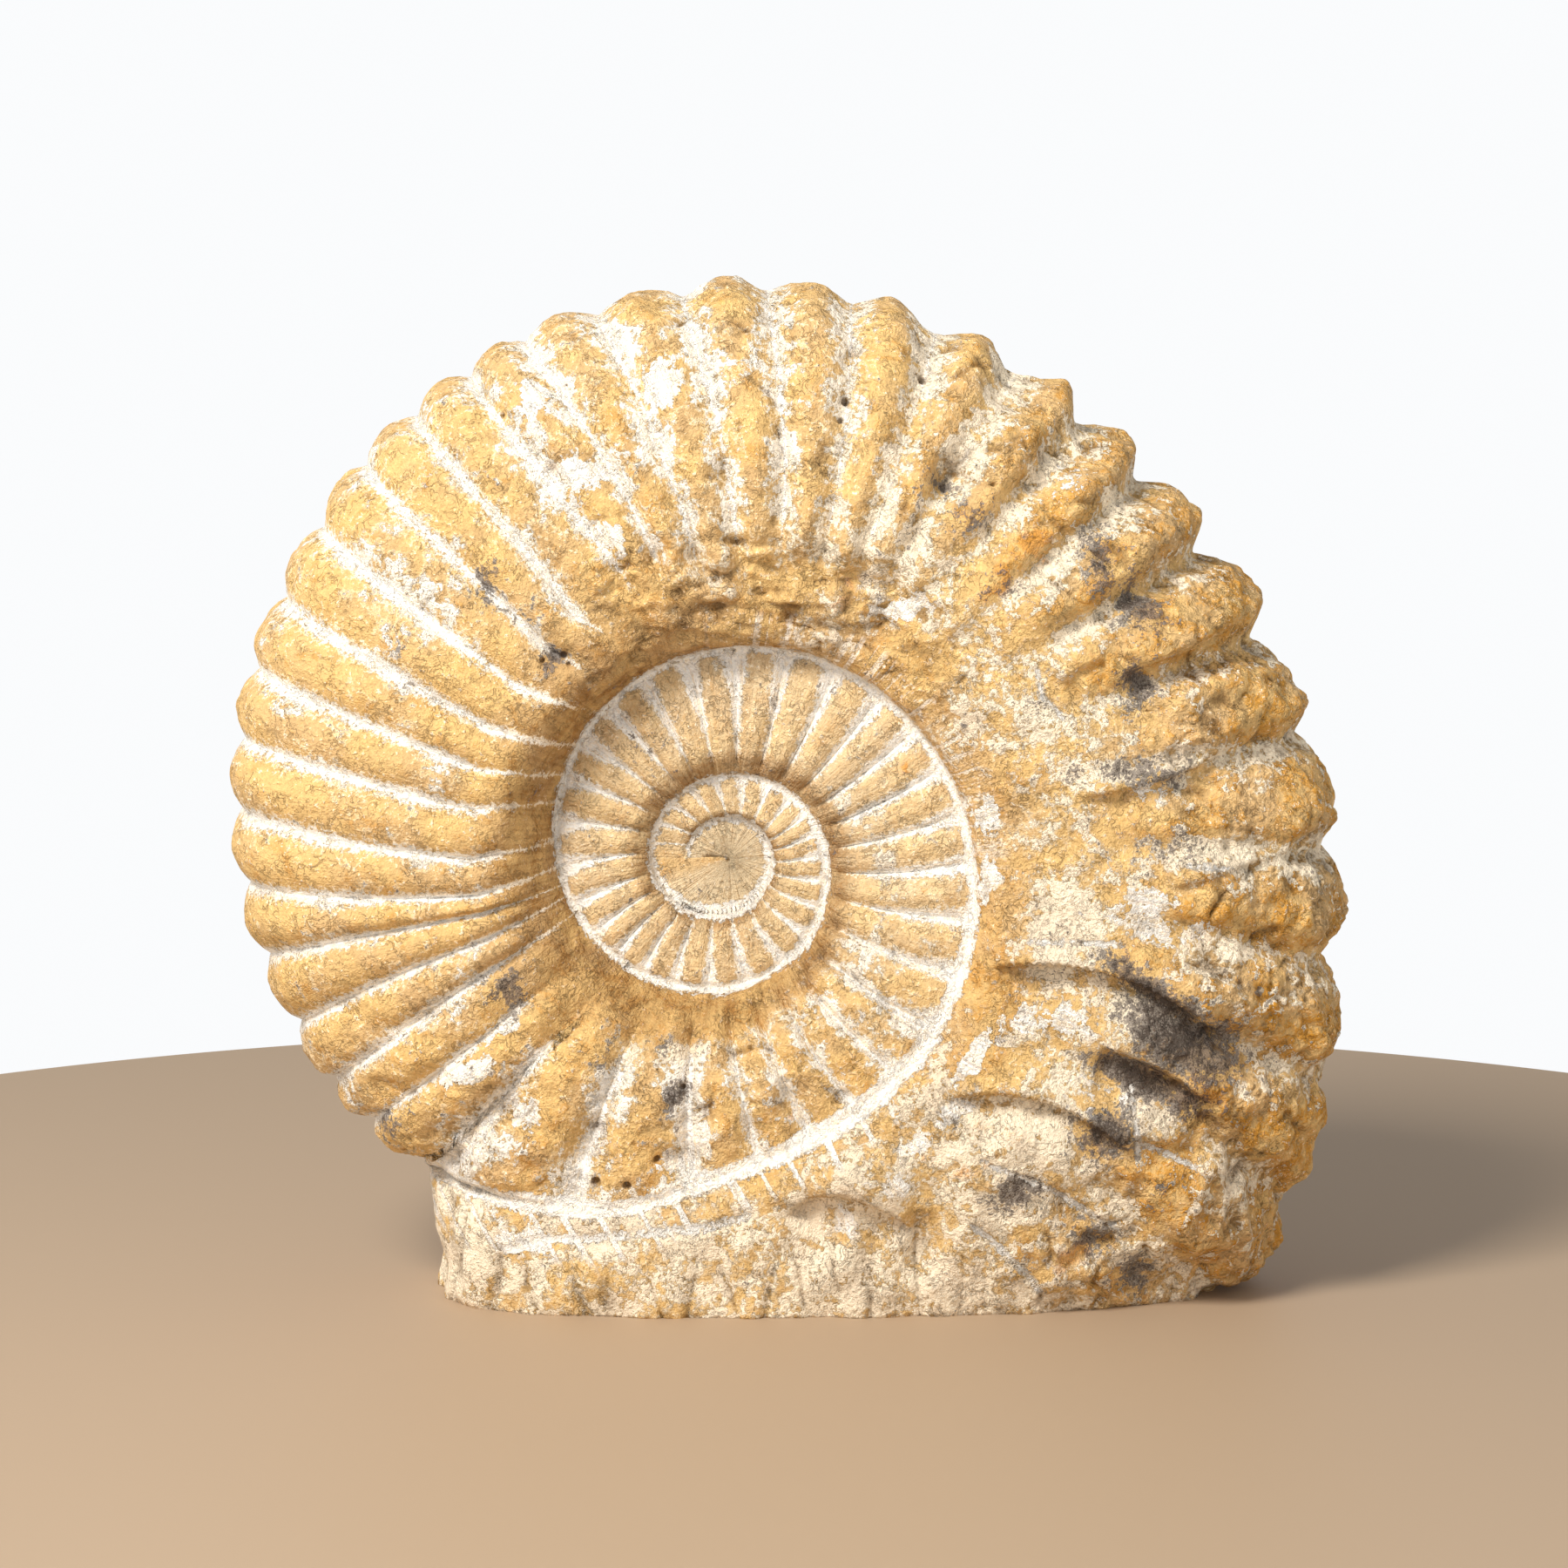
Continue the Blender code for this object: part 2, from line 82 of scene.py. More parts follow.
WALL_SWEEP = 0.06             # how much further on the ribs run where they climb out of the coil's hollow
RIB_SKEW = ((1, 0), (3.3, 0), (3.4, 0.6), (3.45, 0.75), (3.6, 0.75), (3.66, 0), (3.9, 0))
GROOVE_MIDDLE = ((1, 0), (1.1, 1), (1.5, 1.3), (2, 1.8), (2.4, 2.3), (2.6, 3), (2.75, 3.3), (2.9, 3.4),
                 (3.2, 3.3), (3.3, 3.2), (3.36, 3.2), (3.43, 3.2), (3.49, 2.4), (3.58, 2), (3.62, 1.2),
                 (3.66, 0), (3.9, 0))
GROOVE_RIM = ((1, 0), (1.1, 0.9), (1.5, 1.1), (2, 1.6), (2.4, 2.1), (2.75, 2.6), (2.89, 3.5), (3.2, 3.5),
              (3.33, 4.4), (3.38, 6.6), (3.44, 7), (3.49, 5), (3.55, 4.2), (3.59, 5), (3.63, 2.5),
              (3.66, 0), (3.9, 0))
RIB_SQUARENESS = ((1, 0.55), (2.7, 0.6), (2.9, 0.8), (3.15, 0.9), (3.25, 1.3), (3.4, 2), (3.66, 2))
RIB_START = ((1, 0), (2.6, 0), (2.8, 0.05), (3, 0.06), (3.25, 0.14), (3.4, 0.24), (3.66, 0.35))
RIB_FULL = ((1, 0.12), (2.6, 0.12), (2.8, 0.2), (3, 0.28), (3.25, 0.34), (3.4, 0.6), (3.66, 0.75))
WALL_WIDTH = ((0, 0.2), (1, 0.25), (1.5, 0.26), (2.2, 0.26), (2.4, 0.2), (2.6, 0.13), (2.75, 0.13),
              (2.9, 0.34), (3, 0.25), (3.12, 0.15), (3.25, 0.075), (3.5, 0.07), (3.7, 0.12), (3.8, 0.2),
              (3.86, 0.4))
WALL_SHARE = ((0, 1), (2, 0.85), (2.25, 0.65), (2.5, 0.35), (2.75, 0.3), (2.9, 0.8), (3, 0.97),
              (3.12, 0.85), (3.25, 0.66), (3.5, 0.38), (3.7, 0.8), (3.86, 0.9))
SHOULDER = ((0, 0.3), (2, 0.5), (2.25, 0.9), (2.5, 1), (2.75, 0.6), (2.9, 0.5), (3, 0.4), (3.25, 0.33),
            (3.5, 0.6), (3.7, 0.4), (3.86, 0.8))
SECTION_POWER = ((0, 8), (2.6, 8), (2.85, 3.4), (2.95, 2.8), (3.5, 2.9),
                 (3.58, 2.5), (3.63, 2.1), (3.68, 2.4), (3.74, 3), (3.82, 2.6), (3.873, 2.2))
CRUST = ((0, 0.1), (2, 0.3), (2.5, 0.35), (2.6, 0.55), (2.7, 0.8), (2.88, 0.7), (2.98, 0.3), (3.15, 0.35),
         (3.3, 0.7), (3.4, 1.15), (3.6, 1.3), (3.75, 0.8), (3.873, 0.5))
SEAM_GROOVE = 0.4             # depth of the cut line along each seam
SEAM_GROOVE_WIDTH = 1.8       # half its width
SEAM_CALM = 3.5               # how far from a seam the crust and the ribs come to their full height
BACK_FILL = 0.35              # share of the hollow over the coil that stone still fills on the back
WARP = 1.6                    # how far the stone's middle plane wanders

# lumps (+) and pits (-) of the front: right of the centre, above it, half width, half height, depth
LUMPS = (
    (32, -70, 13, 6, 2.6), (19, -85, 6, 8, -2.2), (64, -65, 17, 9, 2.8), (45, -89, 5, 10, -2),
    (109, -80, 14, 16, 3), (97, -48, 14, 5, -2.4), (92, -60, 10, 4, 1.6), (110, -28, 12, 9, 1.6),
    (115, -8, 11, 8, 1.8), (50, 89, 4, 5, -3.2), (-39, 48, 3.5, 3, -2.4), (-50, -27, 5, 5, -2),
    (-35, -67, 4, 4.5, -2.6), (-13, -68, 5, 4, -2.6), (-48, -56, 5.5, 5.5, -1.8), (40, 59, 12, 6, -1.8),
    (30, 66, 14, 4, -1.6), (70, 60, 12, 8, 1.4), (-62, -84, 10, 9, 1.5), (-25, -92, 9, 8, 1.2),
    (-80, -52, 5, 4, -2), (-66, -62, 6, 3.5, -2), (-72, -44, 7, 4, 1.6), (-58, -50, 5, 6, 1.6),
    (-86, -36, 4, 4, -1.5),
)

# ledges of the front, each along a bend from its left end by a middle handle to its right end (right of the
# centre, above it), and how far the stone above it overhangs the stone below
LEDGES = (
    ((58, -23), (91, -16), (115, -41), 3.4), ((84, -40), (97, -43), (111, -55), 2.8),
    ((48, -53), (72, -46), (93, -66), 2.6), ((79, 17), (99, 19), (117, 28), 2),
    ((89, 45), (105, 50), (121, 58), 1.8), ((13, -81), (24, -67), (44, -85), 2.2),
    ((75, 43), (80, 47), (86, 49), 1.2), ((99, -4), (115, 0), (133, 4), 1.1),
    ((119, -70), (128, -69), (134, -62), 1.2),
)
LEDGE_REACH = 7               # how far from a ledge the stone is raised above it and cut back below it
LEDGE_FACE = 1.3              # half the width of the face between the two
LEDGE_SAMPLES = 30

# ---- what only the fine mesh and its colours hold; tables of (turn, value) unless told otherwise ----
# how rough the surface is
ROUGH = ((0, 0.12), (0.95, 0.12), (1.1, 0.35), (2, 0.42), (2.5, 0.5), (2.64, 0.7), (2.86, 0.75),
         (2.95, 0.3), (3.06, 0.42), (3.16, 0.62), (3.26, 0.85), (3.4, 1), (3.62, 1), (3.68, 0.5),
         (3.873, 0.4))
# half the width of the chalk in a groove as a share of a rib's spacing, and what is left of it
# at the whorl's inner seam; then the place across where the chalk starts
CHALK_WIDTH = ((1, 0), (1.06, 0.2), (1.5, 0.29), (2, 0.29), (2.2, 0.26), (2.5, 0.26), (2.6, 0.22),
               (2.7, 0.16), (2.8, 0.15), (2.88, 0.13), (2.95, 0.145), (3.12, 0.14), (3.2, 0.11),
               (3.28, 0.07), (3.36, 0), (3.9, 0))
CHALK_NARROW = ((1, 0.3), (2, 0.3), (2.6, 0.45), (2.8, 0.8), (3, 0.95), (3.9, 0.9))
CHALK_START = ((1, 0.08), (1.5, 0.14), (2, 0.2), (2.5, 0.2), (2.7, 0.3), (2.86, 0.36), (3, 0.19),
               (3.12, 0.19), (3.2, 0.3), (3.4, 0.5), (3.9, 0.5))
# half the width of the white line along a seam, millimetres
SEAM_LINE = ((0, 0.4), (0.2, 0.7), (0.5, 1), (0.75, 1.6), (0.95, 1), (1.1, 0.6), (1.5, 0.9), (1.8, 0.9),
             (2, 0.6), (2.2, 0.6), (2.35, 0.9), (2.5, 1), (2.6, 1.6), (2.68, 2.2), (2.78, 2), (2.84, 2.2),
             (2.873, 2))
# how readily the crust has come off the cream stone, and how much less so on the crests of the ribs
BARE = ((0, 0), (1, 0.15), (2.1, 0.15), (2.5, 0.28), (2.62, 0.44), (2.8, 0.44), (2.9, 0.28), (3.08, 0.26),
        (3.18, 0.27), (3.26, 0.38), (3.4, 0.52), (3.6, 0.54), (3.66, 0.53), (3.8, 0.53), (3.873, 0.54))
CREST_OCHRE = ((1, 0), (2.55, 0), (2.64, 0.12), (2.82, 0.12), (2.9, 0.04), (3.1, 0.08), (3.2, 0.16),
               (3.4, 0.2), (3.5, 0.14), (3.62, 0.1), (3.66, 0), (3.9, 0))
# share of ochre nodules in the crust
NODULES = ((0, 0), (2.6, 0), (2.7, 0.3), (2.85, 0.2), (2.9, 0), (3.25, 0), (3.4, 0.8), (3.6, 1),
           (3.66, 0.7), (3.72, 0.4), (3.8, 0), (3.9, 0))

# spots of the front: right of the centre, above it, half width, half height, lean in degrees, strength
CHALK_SPOTS = (
    (-33, 91, 6, 8, -50, 0.75), (-14.5, 111, 5, 7, 0, 0.8), (-43, 108, 5, 7, -40, 0.65),
    (-26, 76, 3, 6, 40, 0.7), (-47, 100, 4, 8, 45, 0.6), (-47, -87.5, 6, 2.6, 0, 1.1),
    (-48, -56, 5, 5, 0, 0.7), (-12, -68, 5, 4, 10, 0.6), (-29, -55, 1.6, 9, -6, 1),
    (-60, -46, 10, 3, 25, 0.7), (-52, -38, 10, 2.4, 25, 0.6), (40, 59, 8, 4, 10, 0.8),
    (94, -7, 12, 4, 5, 0.6), (100, -14, 11, 4, 0, 0.6), (75, -34, 12, 5, 0, 0.6),
    (85, -52, 9, 6, 0, 0.6), (58, 13, 5, 5, 40, 0.7), (60, -2, 3, 8, 0, 0.6), (38, -72, 7, 6, 0, 0.5),
    (-63, 92, 9, 4, 45, 0.5), (96, 18, 7, 4, 0, 0.5), (78, 88, 6, 4, 40, 0.5), (26, -82, 3, 6, 30, 0.7),
    (-72, -76, 5, 6, 0, 0.6), (57, -42, 2.5, 9, -25, 0.9), (51, -55, 3, 7, -50, 0.8),
    (43, -62, 3, 7, -60, 0.7),
)
# grey stains; the first three, under the ledges of the right flank, also hold painted shade below their
# overhangs
GREY_SPOTS = (
    (104, -39.5, 14, 7, -28, 1.45), (97, -27.5, 15, 3, -38, 1.35), (96, -49, 16, 3.6, -26, 1.3),
    (86, -60, 7, 6, -20, 1.25), (66, -73, 7, 4, 20, 1), (83, -86, 7, 4.5, -20, 0.85),
    (95, -96, 5, 5, 0, 1), (51, -58, 2.5, 3.5, 0, 0.7), (93, 61, 5, 8, 20, 1), (93, 42, 5, 6, 10, 0.95),
    (94, 23, 10, 4, -8, 0.9), (84, 71, 5, 7, 0, 0.75), (54, 83, 8, 6, 20, 0.55),
    (48, 88, 3.5, 4, 40, 0.9), (-39, 48.5, 3.6, 2.8, 20, 1), (-50, -27, 4.5, 4.5, 0, 0.95),
    (-55, 66, 4, 7, 30, 0.7), (-46, 59, 4, 3, 0, 0.55), (-12.5, -53, 2.2, 7, -10, 0.9),
    (-16, -41, 4, 2, 0, 0.6), (-28, -44, 2, 5, -20, 0.6), (97, 5, 10, 4, 0, 0.55),
    (70, 40, 4, 3, 0, 0.4), (-78, -61, 8, 4, 35, 0.6), (-71, 47, 6, 5, 0, 0.35), (60, 66, 6, 4, 0, 0.5),
    (36, 75, 6, 4, 20, 0.4), (23, 40, 3, 2, 0, 0.5), (70, -93, 6, 4, 0, 0.4), (99, -74, 4, 5, 0, 0.5),
    (78, 23, 3, 2, 0, 0.5), (-58, 89, 3, 3, 0, 0.5), (119, -27, 5, 2, -20, 0.6),
    (-20, 27, 6, 3, 20, 0.5), (-13, 22, 3, 4, 0, 0.35),
)
RUST_SPOTS = (
    (69, 75, 5, 4, 0, 1), (60, 66, 3, 6, -20, 0.8), (21.5, 41, 1.6, 1.4, 0, 1),
    (46, -5.4, 1.6, 1.6, 0, 1.1), (16, -56.7, 3, 3, 0, 0.8), (41, 22, 1.8, 1.6, 0, 1),
    (64, -60, 12, 5, -10, 0.5), (27, 62, 3, 8, -20, 0.6), (110, -52, 7, 3, -30, 0.7),
    (79, -90, 6, 5, 40, 0.8), (55, -68, 6, 3, 0, 0.7), (113, 12, 9, 7, 0, 0.35),
    (115, -15, 9, 8, 0, 0.35), (75, 33, 5, 4, 0, 0.5), (-45, -69, 6, 3, 0, 0.5),
    (45, -66, 4, 3, 0, 0.6), (110, -70, 7, 6, 0, 0.4), (14, 12, 1.5, 1.2, 0, 0.7),
    (-1, -2, 2.4, 0.8, 0, 0.6), (-40, -13, 2, 1.2, 0, 0.6),
)
# pits of the front: right of the centre, above it, radius, depth
PITS = (
    (-43.3, 114.8, 0.9, 1.2), (-52, 104.4, 0.9, 1.2), (-33.6, 97, 0.8, 1), (26.8, 107.8, 1.3, 1.8),
    (25.6, 103, 1, 1.6), (45.1, 113.6, 1.4, 1.8), (-30.6, -73.2, 1.4, 2), (-23.4, -73.6, 1.3, 2),
    (-16.5, -67.9, 1.1, 1.8), (-37, 49, 1.2, 2), (-42, 48, 0.9, 1.6), (-10.5, -50, 1, 1.6),
    (60, 88, 1, 1.4), (-36, 47, 0.8, 1.4), (-70, 60, 0.5, 0.8), (12, 100, 0.8, 1),
)
# white lines cut into the front, right of the centre and above it from bend to bend, and half their width
CUTS = (
    (((-50, -88.6), (-44, -86.3), (-32, -85.8), (-20, -84.5), (-6, -82.9), (5, -80)), 0.8),
    (((69, -15.9), (80, -16), (90, -16.7)), 0.5),
    (((56, -81.5), (68, -93), (72, -99)), 0.6),
    (((103.6, 1.7), (115, 0.2)), 0.5),
    (((58, -66), (72, -72.5), (90, -84.5)), 0.55),
    (((92.3, -50), (93.5, -66)), 0.5),
    (((93, -62), (107, -69)), 0.5),
    (((70, 46), (71, 40), (76, 35)), 0.5),
)
# width of the tooled bevel along the last seam, millimetres
BEVEL = ((2.61, 1.5), (2.66, 7), (2.75, 10), (2.8, 13), (2.84, 14), (2.873, 8))

# ---- sizes of the lumps in the stone's colours, millimetres ----
BROAD_SIZE = 16
PATCH_SIZE = 7
CRUST_SIZE = 9
BLOTCH_SIZE = 3.2
FINE_SIZE = 1.1
GRAIN_SIZE = 0.45
NODULE_SIZE = 2.4
CREASE_SIZE = 2.6
SPECK_SIZE = 1.6
CRACK_SIZE = 5
TOOL_MARK_SIZE = 3.4
SPOKE_SIZE = 1.6
SPOKE_RING = 60.0             # radius of the ring round the coil's centre on which spokes are counted
STREAK_SIZE = 1
STREAKS = 14.0                # streaks from one rib to the next
DULLNESS = 0.88               # the stone's roughness
SPECULAR = 0.25               # and its specular level

# ---- fineness of the mesh ----
FINE_COLUMNS = 1500
FINE_FRONT_RINGS = 430
FINE_BACK_RINGS = 230
FINE_FACES = 188000
SECTION_SAMPLES = 900

# ---- camera, light and floor, millimetres and degrees ----
CAMERA_TARGET = (-1.4, 0, 119.6)
CAMERA_DISTANCE = 1250
CAMERA_HEIGHT_ANGLE = 7
PHOTO_SIDE = 1800             # pixels
PHOTO_SCALE = 4.904           # pixels to a millimetre at the camera's target
SENSOR = 36
FLOOR_RADIUS = 365
WALL_LIGHT = 0.98             # brightness of the white room at eye level
CEILING_LIGHT = 0.35          # and overhead
WALL_TOP = 0.15               # height of a direction where the walls' light starts to fall off
CEILING_EDGE = 0.5            # and where it has come down to the ceiling's
ROOM_COLOUR = (0.98, 0.99, 1)
KEY_PLACE = (-0.62, -0.9, 1.1)  # metres, high on the left in front
KEY_SIDE = 0.45               # metres
KEY_POWER = 26                # watts
KEY_COLOUR = (1, 0.97, 0.93)
KEY_AIM = (0, 0, 0.12)        # metres, the middle of the stone
TABLE_DULLNESS = 0.6


def curve(points, x):
    """Value at x of a smooth curve through (position, value) pairs that never overshoots them."""
    place, value = np.array(points, float).T
    width = np.diff(place)
    slope = np.diff(value) / width
    product = slope[:-1] * slope[1:]
    total = slope[:-1] + slope[1:]
    inner = np.where(product > 0, 2 * product / np.where(total == 0, 1, total), 0)
    tangent = np.concatenate(([slope[0]], inner, [slope[-1]]))
    i = np.clip(np.searchsorted(place, x, side="right") - 1, 0, len(width) - 1)
    t = np.clip((x - place[i]) / width[i], 0, 1)
    rise = t * t * (3 - 2 * t) * (value[i + 1] - value[i])
    return value[i] + rise + width[i] * t * (1 - t) * ((1 - t) * tangent[i] - t * tangent[i + 1])


def step(low, high, x):
    """Smooth step from 0 at low to 1 at high."""
    t = np.clip((x - low) / (high - low), 0, 1)
    return t * t * (3 - 2 * t)


def span(start, full, fade, end, turn):
    """1 from full to fade, easing down to 0 at start and at end."""
    return step(start, full, turn) * step(end, fade, turn)


def right_flank(turn, across):
    """1 on the rough flank between the coil's hollow and the right rim's ribs."""
    return span(3.3, 3.4, 3.6, 3.68, turn) * step(0.7, 0.4, across)


def ease(x):
    """Rise from 0 to 1 that is steep at first and level at the end."""
    return 1 - (1 - np.clip(x, 0, 1)) ** 2


def noise(points, size, seed):
    """Smooth gradient noise, about -1 to 1, whose lumps have the given size."""
    place = points / size + 31.7 * seed
    cell = np.floor(place).astype(np.int64)
    part = place - cell
    fade = part ** 3 * (part * (part * 6 - 15) + 10)
    total = 0
    for corner in itertools.product((0, 1), repeat=3):
        spot = cell + corner
        key = spot[..., 0] * 73856093 ^ spot[..., 1] * 19349663 ^ spot[..., 2] * 83492791
        key = key ^ seed * 2971215073
        key = ((key ^ (key >> 13)) * 1274126177) & 0xFFFFFFFF
        key = key ^ (key >> 16)
        weight = 1
        lean = 0
        for axis in range(3):
            gradient = ((key >> (10 * axis)) & 1023) / 511.5 - 1
            lean = lean + gradient * (part[..., axis] - corner[axis])
            weight = weight * (fade[..., axis] if corner[axis] else 1 - fade[..., axis])
        total = total + weight * lean
    return 1.5 * total


def noise_where(weight, points, size, seed):
    """Noise at the points whose weight isn't 0, and 0 at the others."""
    value = np.zeros(weight.shape)
    there = weight != 0
    value[there] = noise(points[there], size, seed)
    return value


def rim_turn(phase):
    """Turn of the outermost whorl in the direction phase, a share of a turn."""
    return np.where(phase < OPEN_TURN - 2, phase + 3, phase + 2)


def locate(phase, radius):
    """Turn and place across the whorl of a point in the direction phase."""
    closed = phase < OPEN_TURN - 2
    rim = curve(RIM_RADIUS, rim_turn(phase))
    seams = [curve(SEAM_RADIUS, phase), curve(SEAM_RADIUS, phase + 1),
             np.where(closed, np.minimum(curve(SEAM_RADIUS, phase + 2), rim), np.inf)]
    count = sum((radius > seam).astype(int) for seam in seams)
    inner = np.choose(count, [np.zeros_like(rim)] + seams[:2] + [np.where(closed, seams[2], rim)])
    outer = np.choose(count, seams[:2] + [np.where(closed, seams[2], rim), rim])
    across = np.clip((radius - inner) / np.maximum(outer - inner, 0.001), 0, 1)
    return phase + count, across


def plain_depth(turn, across, fill):
    """Half thickness of the stone without ribs: umbilical wall, flank and roll over to the outer edge."""
    crest = curve(CREST_DEPTH, turn)
    low = curve(SEAM_DEPTH, np.maximum(turn - 1, 0))
    low = low + fill * (crest - low)
    edge = np.where(turn < OPEN_TURN, curve(SEAM_DEPTH, turn), 0)
    edge = edge + fill * (crest - edge) * (turn < 2.6)
    share = curve(WALL_SHARE, turn)
    wall, shoulder = ease(across / curve(WALL_WIDTH, turn)), ease(across / curve(SHOULDER, turn))
    rise = share * wall + (1 - share) * shoulder
    grown = step(0.95, 1.1, turn)
    top = low + (crest - low) * rise * grown
    inset = 0.05 * step(2.8, 3, turn)
    power = curve(SECTION_POWER, turn)
    fullness = 1 + (1 / power - 1) * step(2.8, OPEN_TURN, turn)
    roll = (1 - np.clip((across - inset) / (1 - inset), 0, 1) ** power) ** fullness
    return top + (edge - top) * (1 - roll) * grown


def rib_number(turn, across):
    """Number of the rib, whole on its crest: the ribs lean and bend as they cross the whorl."""
    sweep = WALL_SWEEP * np.clip(0.25 - across, 0, 1) * step(2.9, 3, turn)
    return curve(RIB_NUMBER, turn + curve(RIB_LEAN, turn) * (across - 1) - sweep)


def rib_groove(turn, across):
    """Depth of the grooves between the ribs."""
    number = rib_number(turn, across)
    number = number + curve(RIB_SKEW, turn) * (1 - np.cos(2 * np.pi * number)) / (2 * np.pi)
    section = 1 - np.abs(np.cos(np.pi * number)) ** curve(RIB_SQUARENESS, turn)
    middle = curve(GROOVE_MIDDLE, turn)
    depth = middle + (curve(GROOVE_RIM, turn) - middle) * step(0.5, 0.95, across)
    return depth * section * step(curve(RIB_START, turn), curve(RIB_FULL, turn), across)


def seam_gap(phase, radius):
    """Distance to the nearest seam between the whorls."""
    gap = np.full(radius.shape, np.inf)
    for whorl in range(3):
        turn = phase + whorl
        away = np.abs(radius - curve(SEAM_RADIUS, turn))
        gap = np.minimum(gap, np.where(turn < OPEN_TURN, away, np.inf))
    return gap


def ledges(points):
    """How far the stone stands out above the ledges of the front and is cut back below them."""
    total = np.zeros(points.shape[:-1])
    share = np.linspace(0, 1, LEDGE_SAMPLES)[:, None]
    for left, handle, right, overhang in LEDGES:
        start, middle, end = (np.array(spot, float) for spot in (left, handle, right))
        line = (1 - share) ** 2 * start + 2 * share * (1 - share) * middle + share ** 2 * end
        way = 2 * (1 - share) * (middle - start) + 2 * share * (end - middle)
        room = np.linalg.norm(end - start) / 2 + 3 * LEDGE_REACH
        close = np.linalg.norm(points - (start + end) / 2, axis=-1) < room
        offset = points[close][:, None] - line
        gaps = np.linalg.norm(offset, axis=-1)
        nearest = gaps.argmin(axis=-1)
        row = np.arange(len(nearest))
        gap = gaps[row, nearest]
        away = offset[row, nearest]
        along = way[nearest]
        above = np.sign(along[:, 0] * away[:, 1] - along[:, 1] * away[:, 0]) * gap
        ends = step(0, 0.15, share[nearest, 0]) * step(1, 0.85, share[nearest, 0])
        face = 2 * step(-LEDGE_FACE, LEDGE_FACE, above) - 1
        total[close] += overhang * ends * np.exp(-(gap / LEDGE_REACH) ** 2) * face
    return total


def relief(points, phase, radius, front):
    """How far the surface stands out (+) or is cut in (-) at each point, along its normal."""
    turn, across = locate(phase, radius)
    covered = step(2.6, 2.95, turn)
    height = -rib_groove(turn, across) * np.where(front, 1, 0.55 + 0.45 * step(0.3, 0.9, across) * covered)
    crust = curve(CRUST, turn) * np.where(front, 1, 1.15)
    crust = crust * (1 - 0.45 * right_flank(turn, across))
    shelf = span(3.16, 3.2, 3.34, 3.4, turn) * span(0.02, 0.07, 0.26, 0.36, across)
    crust = crust + shelf * front
    height = height + crust * (1.8 * noise(points, 16, 1) + 1.3 * noise(points, 8, 2))
    height = height + 0.5 * noise(points, 26, 3) - 2.8 * shelf * front
    foot = step(3.64, 3.7, turn) * step(0.25, 0.45, across)
    drawn = points * np.array((1, 1, 0.3))
    height = height + foot * 1.3 * noise_where(foot, drawn, 8, 4)
    for right, above, half_width, half_height, depth in LUMPS:
        aside, higher = (points[..., 0] - right) / half_width, (points[..., 2] - above) / half_height
        spread = aside ** 2 + higher ** 2
        height = height + depth * np.exp(-spread) * front
    height = height + ledges(points[..., ::2]) * front
    gap = seam_gap(phase, radius)
    cut = SEAM_GROOVE * np.clip(1 - gap / SEAM_GROOVE_WIDTH, 0, 1) * step(0, 0.08, turn)
    return height * (0.2 + 0.8 * step(0, SEAM_CALM, gap)) - cut * np.where(front, 1, 0.4)


def section_rings(phase, rings, fill):
    """Radius and depth of rings set evenly along the section in each direction, from centre to rim."""
    share = 1 - (1 - np.linspace(0, 1, SECTION_SAMPLES)) ** 2.5
    rim = curve(RIM_RADIUS, rim_turn(phase))
    radius = rim[:, None] * share
    turn, across = locate(np.broadcast_to(phase[:, None], radius.shape), radius)
    depth = plain_depth(turn, across, fill)
    depth[:, -1] = 0
    length = np.cumsum(np.hypot(np.diff(radius), np.diff(depth)), axis=1)
    length = np.concatenate((np.zeros((len(phase), 1)), length), axis=1)
    target = np.linspace(0, 1, rings + 1)[1:]
    rows = [(np.interp(target * run[-1], run, r), np.interp(target * run[-1], run, d))
            for run, r, d in zip(length, radius, depth)]
    return np.array([row[0] for row in rows]).T, np.array([row[1] for row in rows]).T


def spots(points, table):
    """Greatest of the soft oval spots of a table at points of the front."""
    total = np.zeros(points.shape[:-1])
    for right, above, half_width, half_height, lean, strength in table:
        across, up = points[..., 0] - right, points[..., 2] - above
        turn = math.radians(lean)
        along = (across * math.cos(turn) + up * math.sin(turn)) / half_width
        over = (up * math.cos(turn) - across * math.sin(turn)) / half_height
        total = np.maximum(total, strength * np.exp(-0.8 * (along ** 2 + over ** 2)))
    return total


def cut_gap(points):
    """Distance to the nearest of the cut lines of the front, less half its width."""
    gap = np.full(points.shape[:-1], 99.0)
    flat = points[..., ::2]
    for bends, half_width in CUTS:
        for start, end in zip(bends, bends[1:]):
            start, way = np.array(start, float), np.subtract(end, start)
            share = np.clip(((flat - start) @ way) / (way @ way), 0, 1)
            away = flat - start - share[..., None] * way
            gap = np.minimum(gap, np.hypot(away[..., 0], away[..., 1]) - half_width)
    return gap


def seam_line(phase, radius):
    """Distance to the nearest seam, less half the width of its white line."""
    gap = np.full(radius.shape, 99.0)
    for whorl in range(3):
        turn = phase + whorl
        line = np.abs(radius - curve(SEAM_RADIUS, turn)) - curve(SEAM_LINE, turn)
        gap = np.minimum(gap, np.where(turn < OPEN_TURN, line, 99))
    return gap


